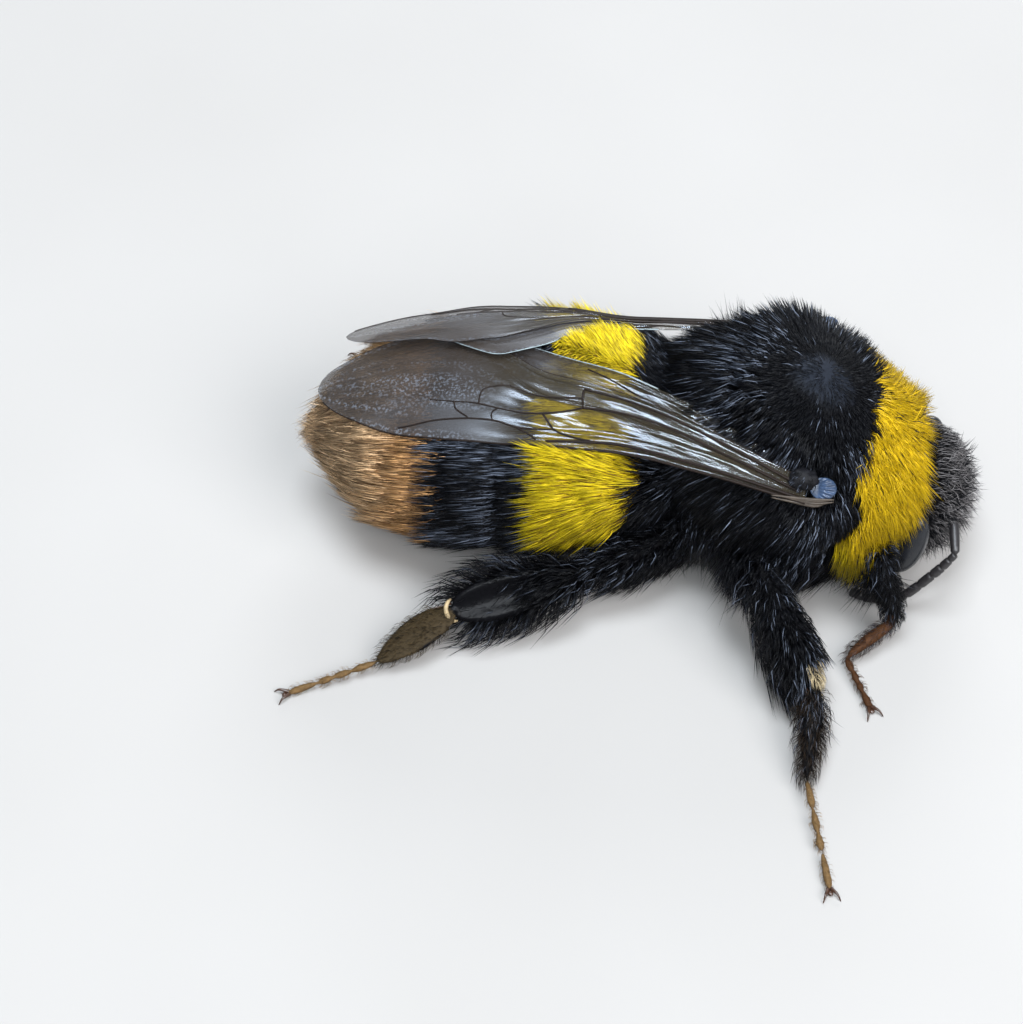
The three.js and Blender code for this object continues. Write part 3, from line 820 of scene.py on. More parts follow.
def skin_colours(points):
    level = np.zeros(len(points))
    colours = np.tile(BLACK * 1.2, (len(points), 1))
    abdomen = on_abdomen(points)
    colours[abdomen] = abdomen_colour(points, level)[0][abdomen] * 0.8
    thorax = on_thorax(points)
    # Painted bluish sheen over the bald disc.
    colours = tint(colours, DISC_SHEEN, disc(points) * thorax)
    colours[thorax & thorax_is_yellow(points, level)] = YELLOW_ROOT * 0.7
    basitarsus = near_leg(points, 2, 0.6)
    colours[basitarsus & (points[:, 0] < HIND_FEET)] = OLIVE * 0.5
    colours[basitarsus & (points[:, 0] > FRONT_FEET)] = RUFOUS * 0.8
    foot = near_leg(points, 3, 0.35)
    colours[foot] = np.where(points[foot, :1] > FRONT_FEET, RUFOUS, AMBER) * 0.6
    return colours


def bareness(points, normals):
    """How polished the skin is: the thorax's disc, the shield of the face and the pollen baskets."""
    bare = 0.5 * disc(points) * on_thorax(points)
    bare = np.maximum(bare, face_shield(points) * (np.linalg.norm(points - HEAD, axis=1) < 3.0))
    for leg in ("hind_right", "hind_left"):
        along, away = beside(points, LEGS[leg][1], LEGS[leg][2])
        basket = smooth(normals @ FORMS[f"tibia_{leg}"].out, 0.3, 0.7)
        inside = (away < 1.1) & (along > 0.1) & (along < 1.0)
        bare = np.where(inside, np.maximum(bare, basket), bare)
    return bare


# ---- the coat ----

ROOT_DEPTH = 0.06                            # how deep in the skin a hair starts
LENGTHS = (0.72, 1.12)                       # the range of hairs' lengths, widths and tones in a batch
WIDTHS = (0.75, 1.15)
TONES = (0.8, 1.2)
LIFT_SPREAD = 7.0                            # degrees


def value_at(rule, *places):
    """A number as it is, or a rule's number for each place."""
    return rule(*places) if callable(rule) else rule


def scatter(form, count, weight, seed):
    """Places of hairs over a form, denser where weight(points, normals, a, b) is larger."""
    way = np.random.default_rng(seed)
    columns, rows = 180, 140
    a, b = np.meshgrid((np.arange(columns) + 0.5) / columns, (np.arange(rows) + 0.5) / rows, indexing="ij")
    a = a.ravel()
    b = b.ravel()
    points, normals, area = surface(form, a, b)
    share = area * np.maximum(value_at(weight, points, normals, a, b), 0)
    picked = way.choice(len(a), count, p=share / share.sum())
    a = a[picked] + way.uniform(-0.5, 0.5, count) / columns
    b = np.clip(b[picked] + way.uniform(-0.5, 0.5, count) / rows, 0.002, 0.998)
    points, normals, _ = surface(form, a, b)
    return points, normals, a % 1, b, way


def comb(points, normals, lie, length, lift, way, spread, curl):
    """Hairs as root, middle and tip. lift is their angle off the skin in degrees, along the lie."""
    count = len(points)
    lie = lie + way.normal(size=(count, 3)) * np.reshape(spread, (-1, 1))
    flat = unit(lie - normals * dot(lie, normals)[:, None])
    angle = lift + way.normal(scale=LIFT_SPREAD, size=count) * np.minimum(lift / 30, 1)
    low = np.radians(np.clip(angle + curl, 3, 95))[:, None]
    high = np.radians(np.clip(angle - curl, 1, 90))[:, None]
    size = (length * way.uniform(*LENGTHS, count))[:, None]
    middle = points + (flat * np.cos(low) + normals * np.sin(low)) * size * 0.5
    tip = middle + (flat * np.cos(high) + normals * np.sin(high)) * size * 0.5
    return points - normals * ROOT_DEPTH, middle, tip


def gather(root, middle, tip, locks, pull, way):
    """Draws the tips of neighbouring hairs together into small locks, each with a tone of its own."""
    centres = way.choice(len(root), max(1, len(root) // locks), replace=False)
    tree = KDTree(len(centres))
    for i, place in enumerate(root[centres]):
        tree.insert(place, i)
    tree.balance()
    group = np.array([tree.find(place)[1] for place in root])
    held = np.maximum(np.bincount(group, minlength=len(centres)), 1)[:, None]

    def lock_means(points):
        return (np.stack([np.bincount(group, axis, len(centres)) for axis in points.T], 1) / held)[group]

    strength = (pull * way.uniform(0.4, 1.2, len(root)))[:, None]
    tone = 1 + way.uniform(-0.3, 0.2, len(centres))[group] * np.clip(pull / 0.4, 0.2, 1)
    return mix(middle, lock_means(middle), strength * 0.35), mix(tip, lock_means(tip), strength), tone


def under_wings(root, points, room, soft):
    """Keeps hairs that grow below a wing from standing through it, or over its edge within soft of the right
    wing and 0.25 of the left.
    """
    for side in SIDES:
        top = wing_height(side, points[:, 0], points[:, 1]) - room
        below = root[:, 2] < wing_height(side, root[:, 0], root[:, 1]) + 0.1
        covered = shade(side, points[:, 0], points[:, 1], soft if side == "right" else 0.25) * below
        points[:, 2] = mix(points[:, 2], np.minimum(points[:, 2], top), covered)
    return points


HAIR_FACES = np.array([[0, 2, 1],
                       [0, 1, 4], [0, 4, 3], [1, 2, 5], [1, 5, 4], [2, 0, 3], [2, 3, 5],
                       [3, 4, 6], [4, 5, 6], [5, 3, 6]])
PATCH = 0.0015                               # half the width of a hair's patch on the unwrap
MOST_HAIRS = 19900                           # keeps a piece under 200,000 triangles
MIDDLE_WIDTH = 0.85                          # of a hair's width at its root
MIDDLE_TONE = 0.55                           # from the root's colour to the tip's
LOWEST_HAIR = FLOOR + 0.015


def hair_piece(name, slot, hairs):
    """One mesh of closed three-sided hairs, each with its patch on the OFBake unwrap."""
    root, middle, tip = hairs["root"], hairs["middle"], hairs["tip"]
    points = np.empty((len(root), 7, 3))
    patch = np.zeros((7, 2))
    width = hairs["width"][:, None] / 2
    halves = [(root, middle, 1, 1), (middle, tip, MIDDLE_WIDTH, 0.5)]
    for ring, (start, end, share, size) in enumerate(halves):
        ahead = unit(end - start)
        across = unit(np.cross(ahead, hairs["turn"]))
        out = np.cross(ahead, across)
        for k in range(3):
            x = math.cos(2 * math.pi * k / 3)
            y = math.sin(2 * math.pi * k / 3)
            points[:, 3 * ring + k] = start + (across * x + out * y) * width * share
            patch[3 * ring + k] = (x * PATCH * size, y * PATCH * size)
    points[:, 6] = tip
    points[:, :, 2] = np.maximum(points[:, :, 2], LOWEST_HAIR)
    faces = (HAIR_FACES[None] + 7 * np.arange(len(root))[:, None, None]).reshape(-1, 3)
    made = piece(name, points.reshape(-1, 3), faces, HAIR, slot)
    shares = np.repeat([0, MIDDLE_TONE, 1.0], [3, 3, 1])[None, :, None]
    keep_colours(made, mix(hairs["low"][:, None], hairs["high"][:, None], shares).reshape(-1, 3))
    unwrap = made.data.uv_layers.new(name="OFBake")
    places = (hairs["place"][:, None] + patch[None]).reshape(-1, 2)
    unwrap.uv.foreach_set("vector", places[faces.ravel()].astype(np.float32).ravel())


def coat(name, slot, batches):
    """Joins batches of hairs and shares them out over as few pieces as their size allows."""
    hairs = {key: np.concatenate([batch[key] for batch in batches]) for key in batches[0]}
    count = len(hairs["root"])
    parts = math.ceil(count / MOST_HAIRS)
    order = np.random.default_rng(count).permutation(count)
    for i in range(parts):
        label = name if parts == 1 else f"{name}_{i + 1}"
        hair_piece(label, slot, {key: values[order[i::parts]] for key, values in hairs.items()})


def batch(form, count, seed, weight, lie, length, lift, colours, locks=14, pull=0.35, width=0.045,
          spread=0.22, curl=18.0, room=0.26, soft=0.25, cell=(0.0, 0.0, 1.0, 1.0)):
    """Hairs over one form, in locks of that many.

    lie is their way over the skin, and spread how far they stray from it. lift is their angle off
    the skin and curl how far they bend back to it, in degrees. pull draws the tips of a lock
    together. room and soft keep them below a wing. cell is the form's own rectangle on the unwrap.
    """
    points, normals, a, b, way = scatter(form, count, weight, seed)
    size = value_at(length, points, normals, b) * (1 + 0.14 * wander(points, 0.8, seed))
    root, middle, tip = comb(points, normals, lie(points, normals), size, value_at(lift, points, normals, b),
                             way, value_at(spread, points), value_at(curl, points))
    middle, tip, tone = gather(root, middle, tip, locks, value_at(pull, points), way)
    low, high = colours(points, b, way)
    shine = (tone * way.uniform(*TONES, count))[:, None]
    return {
        "root": root,
        "middle": under_wings(root, middle, room, soft),
        "tip": under_wings(root, tip, room, soft),
        "low": low * shine,
        "high": high * shine,
        "width": width * way.uniform(*WIDTHS, count) * np.clip(size / 0.9, 0.55, 1),
        "turn": unit(way.normal(size=(count, 3))),
        "place": np.stack([cell[0] + (0.01 + 0.98 * a) * cell[2], cell[1] + (0.01 + 0.98 * b) * cell[3]], 1),
    }


def thorax_lie(points, normals):
    """Away from the top of the thorax: forwards in front of the disc, back behind it, down the sides."""
    x, y, z = heading(points).T
    forward = smooth(x, 0.05, 0.42)
    back = smooth(-x, -0.15, 0.3)
    aside = smooth(np.abs(y), 0.02, 0.3) * (1 - back)
    hanging = smooth(-z, -0.1, 0.4)
    return np.stack([
        mix(mix(-1.0, 0.9, forward) * mix(1, 0.5, aside), -0.45, hanging),
        mix(0.5 * y, 0.9 * np.sign(y), aside),
        -0.35 - 0.9 * smooth(-z, -0.55, 0.3) - 0.5 * hanging,
    ], 1)


def bristling(points):
    """1 where the hair of the thorax stands up like bristles, over her left shoulder."""
    _, y, z = heading(points).T
    return smooth(y, 0.28, 0.6) * smooth(z, -0.1, 0.25)


def underside(points):
    """1 under the thorax."""
    return smooth(-heading(points)[:, 2], 0.8, 0.98)


def flank(points):
    """1 on the sides of the thorax, below the wings."""
    return smooth(-heading(points)[:, 2], -0.35, 0.05) * (1 - underside(points))


def low_end(points):
    """1 at the low ends of the collar."""
    return smooth(-heading(points)[:, 2], 0.0, 0.32)


def off_wing_roots(points):
    """0 at the scale over a wing's root, rising to 1 where hair can't reach over it."""
    clear = np.ones(len(points))
    for side in SIDES.values():
        ahead = points - (TEGULA_PLACE + [0.25, 0, 0.1]) * [1, side, 1]
        clear *= smooth(np.linalg.norm(ahead * [0.8, 1, 1], axis=1), 0.4, 1.4)
    return clear


def thorax_length(points, normals, b):
    direction = heading(points)
    x, _, z = direction.T
    rear = smooth(-x, 0.35, 0.75)
    hang = mix(2.0, 3.4, smooth(-z, 0.1, 0.5))
    top = mix(mix(1.25, 1.4, smooth(-x, -0.2, 0.4)), 2.3, rear)
    long_hair = mix(top, hang, flank(points)) * mix(1, 0.5, underside(points))
    off_collar = degrees_from(direction, AHEAD) - COLLAR_BACK
    near_collar = smooth(-z, 0.75, 0.55) * (1 - smooth(off_collar, 0, 26))
    long_hair = long_hair * mix(1, 0.4, near_collar * flank(points))
    long_hair = mix(long_hair, mix(1.5, 0.92, smooth(x, -0.45, 0.2)), bristling(points))
    length = mix(mix(long_hair, 0.65, pelt(points)), 0.45, disc(points))
    return length * mix(0.3, 1, off_wing_roots(points))


def thorax_lift(points, normals, b):
    x, _, z = heading(points).T
    side = mix(54, 74, smooth(-z, 0.2, 0.6))
    long_hair = mix(mix(50, 54, smooth(-x, -0.1, 0.4)), side, flank(points))
    long_hair = mix(long_hair, 66, bristling(points))
    lift = mix(mix(long_hair, 16, pelt(points)), 9, disc(points))
    return mix(12, lift, off_wing_roots(points))


def glinting(points):
    """The share of black hairs given a painted glint: few on the pelt, and fewer at the waist and under a
    wing's root, as painted shade.
    """
    x, y, z = points.T
    patchy = mix(0.04, 0.25, smooth(wander(points, 3.2, seed=77), -0.2, 0.5))
    flat = pelt(points) * smooth(z, 3.5, 4.5)
    waist = np.exp(-((x + 0.6) / 1.3) ** 2)
    # Painted shade: fewer glinting hairs below the wing's root.
    wing_root_shade = np.exp(-((x - 2.6) / 1.5) ** 2) * smooth(np.abs(y), 2.0, 3.0) * smooth(-z, -6.8, -5.6)
    return patchy * (1 - 0.93 * flat) * (1 - 0.8 * waist) * (1 - 0.75 * wing_root_shade)


def glints(count, way):
    """The painted glint colours of glinting hairs, some paler than others."""
    return GLINT * way.uniform(0.4, 1.5, count)[:, None]


def black_hair(points, b, way):
    """Black, with hairs painted with glint colours in loose patches."""
    pale = (way.random(len(points)) < glinting(points))[:, None]
    glint = glints(len(points), way)
    return np.where(pale, glint * 0.15, BLACK), np.where(pale, glint, SOOT)


def thorax_coats():
    def ragged(points):
        return 2.2 * wander(points, 1.1, seed=5)

    def clear(points):
        """Where hair may grow: not under the head."""
        return np.linalg.norm((points - HEAD) / [1.6, 2.6, 2.4], axis=1) > 0.85

    def black_weight(points, normals, a, b):
        low = smooth(-heading(points)[:, 2], 0.0, 0.3)
        border = thorax_is_yellow(points, ragged(points) - 7 * low)
        thick = mix(1, 0.8, underside(points)) * mix(1, 1.4, pelt(points)) * mix(1, 1.3, low)
        thick = thick * mix(1, 0.6, bristling(points)) * mix(1, 0.4, disc(points))
        return ~border * clear(points) * smooth(off_wing_roots(points), 0.05, 0.2) * thick

    def black_pull(points):
        return mix(mix(0.8, 0.5, bristling(points)), 0.12, pelt(points))

    def black_curl(points):
        return mix(mix(mix(18, 34, flank(points)), 9, bristling(points)), 6, pelt(points))

    def collar_weight(points, normals, a, b):
        return thorax_is_yellow(points, ragged(points)) * clear(points) * mix(1, 2.0, low_end(points))

    def collar_colours(points, b, way):
        dark = (way.random(len(points)) < 0.06)[:, None]
        low = np.where(dark, BLACK, YELLOW_ROOT)
        # Paler lemon at the collar's low ends: painted light, lifting them where they hang in shade.
        return low, np.where(dark, SOOT, tint(YELLOW, LEMON, low_end(points)))

    def top(points):
        return smooth(heading(points)[:, 2], 0.3, 0.7)

    def collar_lie(points, normals):
        """As the rest, but straight down at the low ends."""
        return thorax_lie(points, normals) + low_end(points)[:, None] * [0.35, 0, -0.7]

    def collar_length(points, normals, b):
        far_end = smooth(heading(points)[:, 1], 0.2, 0.6)
        return mix(mix(1.6, 0.95, top(points)), 2.35, low_end(points)) * mix(1, 0.65, far_end)

    def collar_lift(points, normals, b):
        return mix(mix(60, 44, top(points)), 46, low_end(points))

    black = batch(thorax_form, count=38500, seed=11, weight=black_weight, lie=thorax_lie,
                  length=thorax_length, lift=thorax_lift, colours=black_hair, locks=18, pull=black_pull,
                  spread=lambda points: mix(0.24, 0.07, pelt(points)), curl=black_curl, width=0.041,
                  room=0.12, soft=0.9)
    knobs = [batch(knob_form(side), count=260, seed=13, weight=1, lie=thorax_lie, length=0.3, lift=25.0,
                   colours=black_hair, width=0.03) for side in SIDES.values()]
    coat("coat_thorax", "coat_black", [black, *knobs])
    collar = batch(thorax_form, count=15500, seed=12, weight=collar_weight, lie=collar_lie,
                   length=collar_length, lift=collar_lift, colours=collar_colours, locks=9,
                   pull=lambda points: mix(0.15, 0.5, low_end(points)), spread=0.32, width=0.05)
    coat("coat_collar", "coat_yellow", [collar])


# The abdomen's bands from the front: piece, slot, number of hairs and pull of their locks.
BAND_COATS = [
    ("coat_abdomen_front", "coat_black", 9000, 0.3),
    ("coat_abdomen_yellow", "coat_yellow", 16500, 0.45),
    ("coat_abdomen_middle", "coat_black", 14500, 0.35),
    ("coat_tail", "coat_buff", 18500, 0.65),
]


def crest(points):
    """1 on the ridge of the back that shows between the wings."""
    x, y, z = points.T
    middle = 0.7 - 0.1 * (x + 3)
    return np.exp(-((y - middle) / 1.0) ** 4) * smooth(z, 6.6, 7.4) * smooth(x, -5.2, -4.2)


def over_edge(points):
    """1 where the yellow band's hair stands up beyond the front edge of the left wing."""
    x, y, z = points.T
    return smooth(y, 2.4, 3.2) * smooth(z, 4.6, 5.6) * smooth(x, -4.6, -4.0)


def abdomen_coats():
    def ragged(points):
        return 0.16 * wander(points, 0.9, seed=8)

    def lie(points, normals):
        """Back along the abdomen, fanning out over the front of the yellow band."""
        x, y, z = points.T
        fan = 1.5 * smooth(x, -4.4, -1.6) + 0.12
        return np.stack([0 * x - 1, 0.12 * y / 3.6, fan * (z - 5.0) / 3.0], 1)

    def colours(points, b, way):
        count = len(points)
        back = -points[:, 0]
        spread = mix(0.06, 0.22, smooth(back, 6.0, 7.0))
        low, high = abdomen_colour(points, ragged(points) + spread * way.normal(size=count))
        black = high[:, :1] < 0.02
        lit = black & (way.random(count) < glinting(points) * 2.0)[:, None]
        # Some yellow and buff hairs are made dark: painted shade in the gaps between locks, a little more
        # towards the tail.
        dark = ~black & (way.random(count) < mix(0.15, 0.2, smooth(back, 8.0, 9.5)))[:, None]
        return low, np.where(lit, glints(count, way), np.where(dark, BUFF_ROOT * 0.4, high))

    def length(points, normals, b):
        tail = smooth(-points[:, 0], 8.5, 11.3)
        waist = smooth(points[:, 0], -1.2, 0.2)
        sleek = mix(1.65, 1.35, crest(points))
        return mix(mix(sleek, 2.3, tail), 1.3, waist) * mix(1, 0.85, over_edge(points))

    def lift(points, normals, b):
        x = points[:, 0]
        waist = smooth(x, -1.6, 0.0)
        lying = mix(mix(18, 36, smooth(-x, 9.0, 11.5)), 27, smooth(x, -5.0, -3.8))
        lying = mix(mix(lying, 20, waist), 64, crest(points) * (1 - waist))
        return mix(lying, 46, over_edge(points))

    for band, (name, slot, count, pull) in enumerate(BAND_COATS):
        def weight(points, normals, a, b, band=band):
            thick = mix(1, 0.5, smooth(4.9 - points[:, 2], 1.5, 3.2)) * (1 + 0.5 * crest(points))
            return (abdomen_band(points, ragged(points)) == band) * thick

        hairs = batch(abdomen_form, count, seed=21 + band, weight=weight, lie=lie, length=length, lift=lift,
                      colours=colours, pull=pull, curl=12.0, spread=0.11, width=0.04)
        coat(name, slot, [hairs])


def head_coat():
    def weight(points, normals, a, b):
        level = off_head(points)
        keep = mix(1, 0.4, smooth(-level[:, 2], 1.0, 2.0)) * mix(1, 0.1, face_shield(points))
        for side in SIDES.values():
            eye = (level - EYE_PLACE * [1, side, 1]) / (EYE_HALF + 0.06)
            keep = keep * (np.linalg.norm(eye, axis=1) > 1.0)
        return keep

    def lie(points, normals):
        _, y, z = facing_ahead(points).T
        return np.stack([0.8 + 0.3 * z, 0.35 * y, 0.25 * z - 0.3], 1)

    def length(points, normals, b):
        x, y, z = facing_ahead(points).T
        vertex = smooth(z, 0.9, 1.7) * smooth(-x, -0.7, -0.1)
        face = mix(mix(1.25, 0.4, smooth(np.abs(y), 0.9, 2.1)), 0.6, smooth(-z, 0.9, 2.0))
        return mix(face, 0.35, vertex) * mix(1, 0.4, face_shield(points)) * mix(1, 0.65, smooth(z, 0.6, 1.4))

    def lift(points, normals, b):
        return mix(62, 36, smooth(points[:, 2] - HEAD[2], 0.4, 1.3))

    def colours(points, b, way):
        # Half the hairs get pale grey tips: a painted sheen.
        pale = (way.random(len(points)) < 0.5)[:, None]
        return np.tile(BLACK, (len(points), 1)), np.where(pale, GREY, SOOT)

    hairs = batch(head_form, count=5200, seed=31, weight=weight, lie=lie, length=length, lift=lift,
                  colours=colours, locks=9, pull=0.25, width=0.033, spread=0.4)
    coat("coat_head", "coat_black", [hairs])


# The hair on each segment of a leg: how many, how long, and how many times longer on its fringe.
LEG_HAIRS = {
    "front": {"coxa": (500, 2.3, 1.25), "femur": (1300, 1.15, 2.0), "tibia": (1000, 0.6, 1.25),
              "basitarsus": (500, 0.4, 1), "feet": (60, 50, 50, 60)},
    "mid": {"coxa": (700, 2.185, 1.75), "femur": (2100, 1.3225, 1.75), "tibia": (2500, 1.2075, 1.75),
            "basitarsus": (800, 0.75, 1), "feet": (70, 60, 60, 70)},
    "hind": {"coxa": (600, 1.9, 1.25), "femur": (1700, 1.5, 1.25), "tibia": (1900, 1.05, 1.25),
             "basitarsus": (1000, 0.4, 1), "feet": (70, 60, 60, 70)},
}
FOOT_HAIR = 0.22                             # the length of the feet's hair
FINE_HAIR = 0.03                             # the width of hairs from the basitarsus out
COARSE_HAIR = 0.042
LEG_LIFT = 36.0                              # degrees off the skin, and on two of the segments
LEG_LIFTS = {"basitarsus": 28.0, "tibia": 30.0}


def leg_batch(form, kind, part, seed, cell):
    """The hair of one segment of a front, mid or hind leg."""
    is_foot = part.startswith("foot")
    fine = is_foot or part == "basitarsus"
    segment = (kind, part)
    is_basket = segment == ("hind", "tibia")
    if is_foot:
        count = LEG_HAIRS[kind]["feet"][int(part[-1]) - 1]
        long_hair, longest = FOOT_HAIR, 1
    else:
        count, long_hair, longest = LEG_HAIRS[kind][part]

    def brush(points, b):
        """1 in the pale brush at the outer end of a mid tibia."""
        aside = points @ form.across - form(0.25, np.array(0.9)) @ form.across
        return smooth(b, 0.8, 0.84) * (aside > 0)

    def fringe(normals):
        """1 on the rear and lower sides of a segment, where its hair is longest."""
        if kind == "front":
            return smooth(-normals[:, 2], 0.1, 0.8)
        return smooth(-normals[:, 0] * 0.6 - normals[:, 2] * 0.8, -0.1, 0.7)

    def weight(points, normals, a, b):
        keep = smooth(b, 0.0, 0.1)
        if segment == ("front", "coxa"):
            keep = keep * smooth(-normals[:, 2], -0.1, 0.4)
        if segment == ("front", "femur"):
            keep = keep * smooth(b, 0.25, 0.5)
        if is_basket:
            edge = smooth(np.abs(normals @ form.across), 0.15, 0.5)
            knee = 1 - 0.93 * smooth(b, 0.2, 0.6)
            keep = keep * mix(np.maximum(edge, knee), 1, smooth(-(normals @ form.out), 0.0, 0.5))
        return keep

    def lie(points, normals):
        hang = np.array([-0.05, 0, -1.6] if segment == ("front", "femur") else [-0.12, 0, -0.4])
        side = np.sign(normals @ form.across)[:, None] * form.across
        return form.axis + hang * (not fine) + side * 0.15 * is_basket

    def length(points, normals, b):
        if is_basket:
            edge = smooth(np.abs(normals @ form.across), 0.3, 0.7)
            return mix(0.6, 1.8, np.maximum(edge, 1 - smooth(b, 0.2, 0.6)))
        grown = long_hair * mix(1 if fine else 0.7, longest, fringe(normals))
        if part == "tibia":
            grown = grown * mix(0.75, 1.2, b)
        if segment == ("mid", "tibia"):
            grown = grown * mix(1, 0.5, brush(points, b))
        return grown

    def colours(points, b, way):
        count = len(points)
        if is_foot:
            golden = RUFOUS if kind == "front" else AMBER
            return np.tile(golden * 0.4, (count, 1)), np.tile(golden * 1.3, (count, 1))
        if segment == ("hind", "basitarsus"):
            dark = (way.random(count) < 0.35)[:, None]
            return np.where(dark, BLACK, OLIVE * 0.4), np.where(dark, BLACK, OLIVE * 1.15)
        low, high = black_hair(points, b, way)
        high = high * 0.7
        if part == "basitarsus":
            golden, most = (RUFOUS * 2, 0.5) if kind == "front" else (AMBER, 0.25)
            high = tint(high, golden, most * way.random(count))
        if segment == ("mid", "tibia"):
            pale = (brush(points, b) > 0.5)[:, None]
            low = np.where(pale, CREAM * 0.7, low)
            high = np.where(pale, CREAM, high)
        return low, high

    return batch(form, count, seed, weight, lie, length, LEG_LIFTS.get(part, LEG_LIFT), colours, locks=12,
                 pull=0.1 if fine else 0.45, width=FINE_HAIR if fine else COARSE_HAIR, cell=cell)


def leg_coats():
    """The hair of each leg, in one piece, with a cell of the unwrap for each segment."""
    for i, name in enumerate(LEGS):
        kind = name.split("_")[0]
        batches = []
        for k, (part, form) in enumerate(leg_forms(name).items()):
            cell = (0.25 * (k % 4), 0.5 * (k // 4), 0.25, 0.5)
            batches.append(leg_batch(form, kind, part, 40 + 10 * i + k, cell))
        coat(f"coat_leg_{name}", "coat_black", batches)


# ---- eyes, feelers, mouth and claws ----


def eyes():
    for name, side in SIDES.items():
        def rule(points, side=side):
            return on_head(turned(points, "X", side * EYE_LEAN) + EYE_PLACE * [1, side, 1])

        eye = ball(np.zeros(3), EYE_HALF, rows=40, around=48, rule=rule)
        piece(f"compound_eye_{name}", *eye, EYE, "eye", [f"eye_{name}"])
    spots = on_head([[0.55, 0.0, 1.82], [0.3, 0.42, 1.98], [0.3, -0.42, 1.98]])
    ocelli = joined([ball(spot, [0.15, 0.15, 0.13], rows=10, around=16) for spot in spots])
    piece("ocelli", *ocelli, EYE, "eye")


def feelers():
    """A scape, a pedicel and ten short joints on each side."""
    for name in SIDES:
        bends = np.array(ANTENNAE[name])
        t = np.linspace(0, 1, 14)
        path = spline([bends[0], mix(bends[0], bends[1], 0.5) + [0.04, 0, 0.05], bends[1]], t)
        swell = 0.13 + 0.05 * np.sin(np.pi * t) ** 0.5
        radius = swell * np.clip(np.sin(np.pi * mix(0.04, 0.97, t)) * 4, 0.2, 1)
        piece(f"scape_{name}", *tube(path, radius, around=12), FEELER, "shell", [f"antenna_scape_{name}"])
        t = np.linspace(0, 1, 141)
        phase = (t * FLAGELLUM_JOINTS) % 1
        waist = 1 - 0.28 * np.exp(-((np.minimum(phase, 1 - phase)) / 0.09) ** 2)
        radius = mix(0.13, 0.175, smooth(t, 0, 0.25)) * waist
        radius *= blunted(t - 0.97, 0.032, least=0.02)
        flagellum = tube(spline(bends[1:], t), radius, around=12, facing=(0.2, 0, 1))
        piece(f"flagellum_{name}", *flagellum, FEELER, "shell", [f"antenna_flagellum_{name}"])


def mouth():
    for name, side in SIDES.items():
        bends = on_head([[0.35, side * 1.1, -1.55], [0.6, side * 0.95, -2.2], [0.72, side * 0.45, -2.75]])
        t = np.linspace(0, 1, 20)
        radius = mix(0.34, 0.16, t) * np.clip(np.sin(np.pi * mix(0.05, 0.95, t)) * 3, 0.1, 1)
        jaw = tube(spline(bends, t), radius, around=12, flat=0.6, facing=(1, 0, 0))
        piece(f"jaw_{name}", *jaw, HORN, "horn", [f"mandible_{name}"])
    t = np.linspace(0, 1, 60)
    path = spline([[8.2, -0.42, 1.75], [7.75, -0.38, 0.85], [6.9, -0.3, 0.62], [5.8, -0.2, 0.68]], t)
    parts = [tube(path, mix(0.2, 0.08, t), around=10)]
    for side in SIDES.values():
        parts.append(tube(path + [0, side * 0.15, 0.03], 0.15 * (1 - t ** 3) + 0.02, flat=0.6))
    piece("tongue", *joined(parts), HORN, "horn", ["proboscis"])


def claws():
    """Two curved claws with a small pad between them on each foot."""
    t = np.linspace(0, 1, 12)
    for name, bends in LEGS.items():
        heel, toe = np.array(bends[3:])
        ahead = unit((toe - heel) * [1, 1, 0])
        aside = np.array([-ahead[1], ahead[0], 0])
        parts = []
        for side in (1, -1):
            root = toe - ahead * 0.05 + aside * side * 0.06
            arch = toe + ahead * 0.22 + aside * side * 0.2 + [0, 0, 0.06]
            tip = toe + ahead * 0.4 + aside * side * 0.3
            tip[2] = FLOOR + 0.03
            parts.append(tube(spline([root, arch, tip], t), mix(0.075, 0.012, t)))
        parts.append(ball(toe + ahead * 0.1 - [0, 0, 0.04], [0.1, 0.1, 0.06], rows=8, around=12))
        points, faces = joined(parts)
        points[:, 2] = np.maximum(points[:, 2], FLOOR)
        piece(f"claws_{name}", points, faces, HORN, "foot")


def ankles():
    """A spur at the mid and hind ankles, and the pale skin of the joint round the hind ones."""
    t = np.linspace(0, 1, 8)
    for name in ("mid_right", "mid_left", "hind_right", "hind_left"):
        form = FORMS[f"tibia_{name}"]
        ankle, heel = np.array(LEGS[name][2:4])
        start = ankle - form.across * 0.25
        end = ankle + unit(heel - ankle) * 0.75 - form.across * 0.5
        spur = tube(mix(start, end, t[:, None]), mix(0.05, 0.01, t), around=6)
        piece(f"spur_{name}", *spur, HORN, "horn")
    turn = np.linspace(-1.5, 1.5, 24)[:, None]
    for name in ("hind_right", "hind_left"):
        form = FORMS[f"tibia_{name}"]
        bulge = 0.3 * np.cos(turn) * form.axis + 0.24 * np.cos(turn) * form.out
        path = np.array(LEGS[name][2]) - 0.08 * form.axis + 0.4 * np.sin(turn) * form.across + bulge
        ring = tube(path, 0.075 * np.cos(turn[:, 0]) ** 0.4 + 0.01, around=10, facing=form.out)
        piece(f"ankle_ring_{name}", *ring, JOINT, "horn")


# ---- wings ----

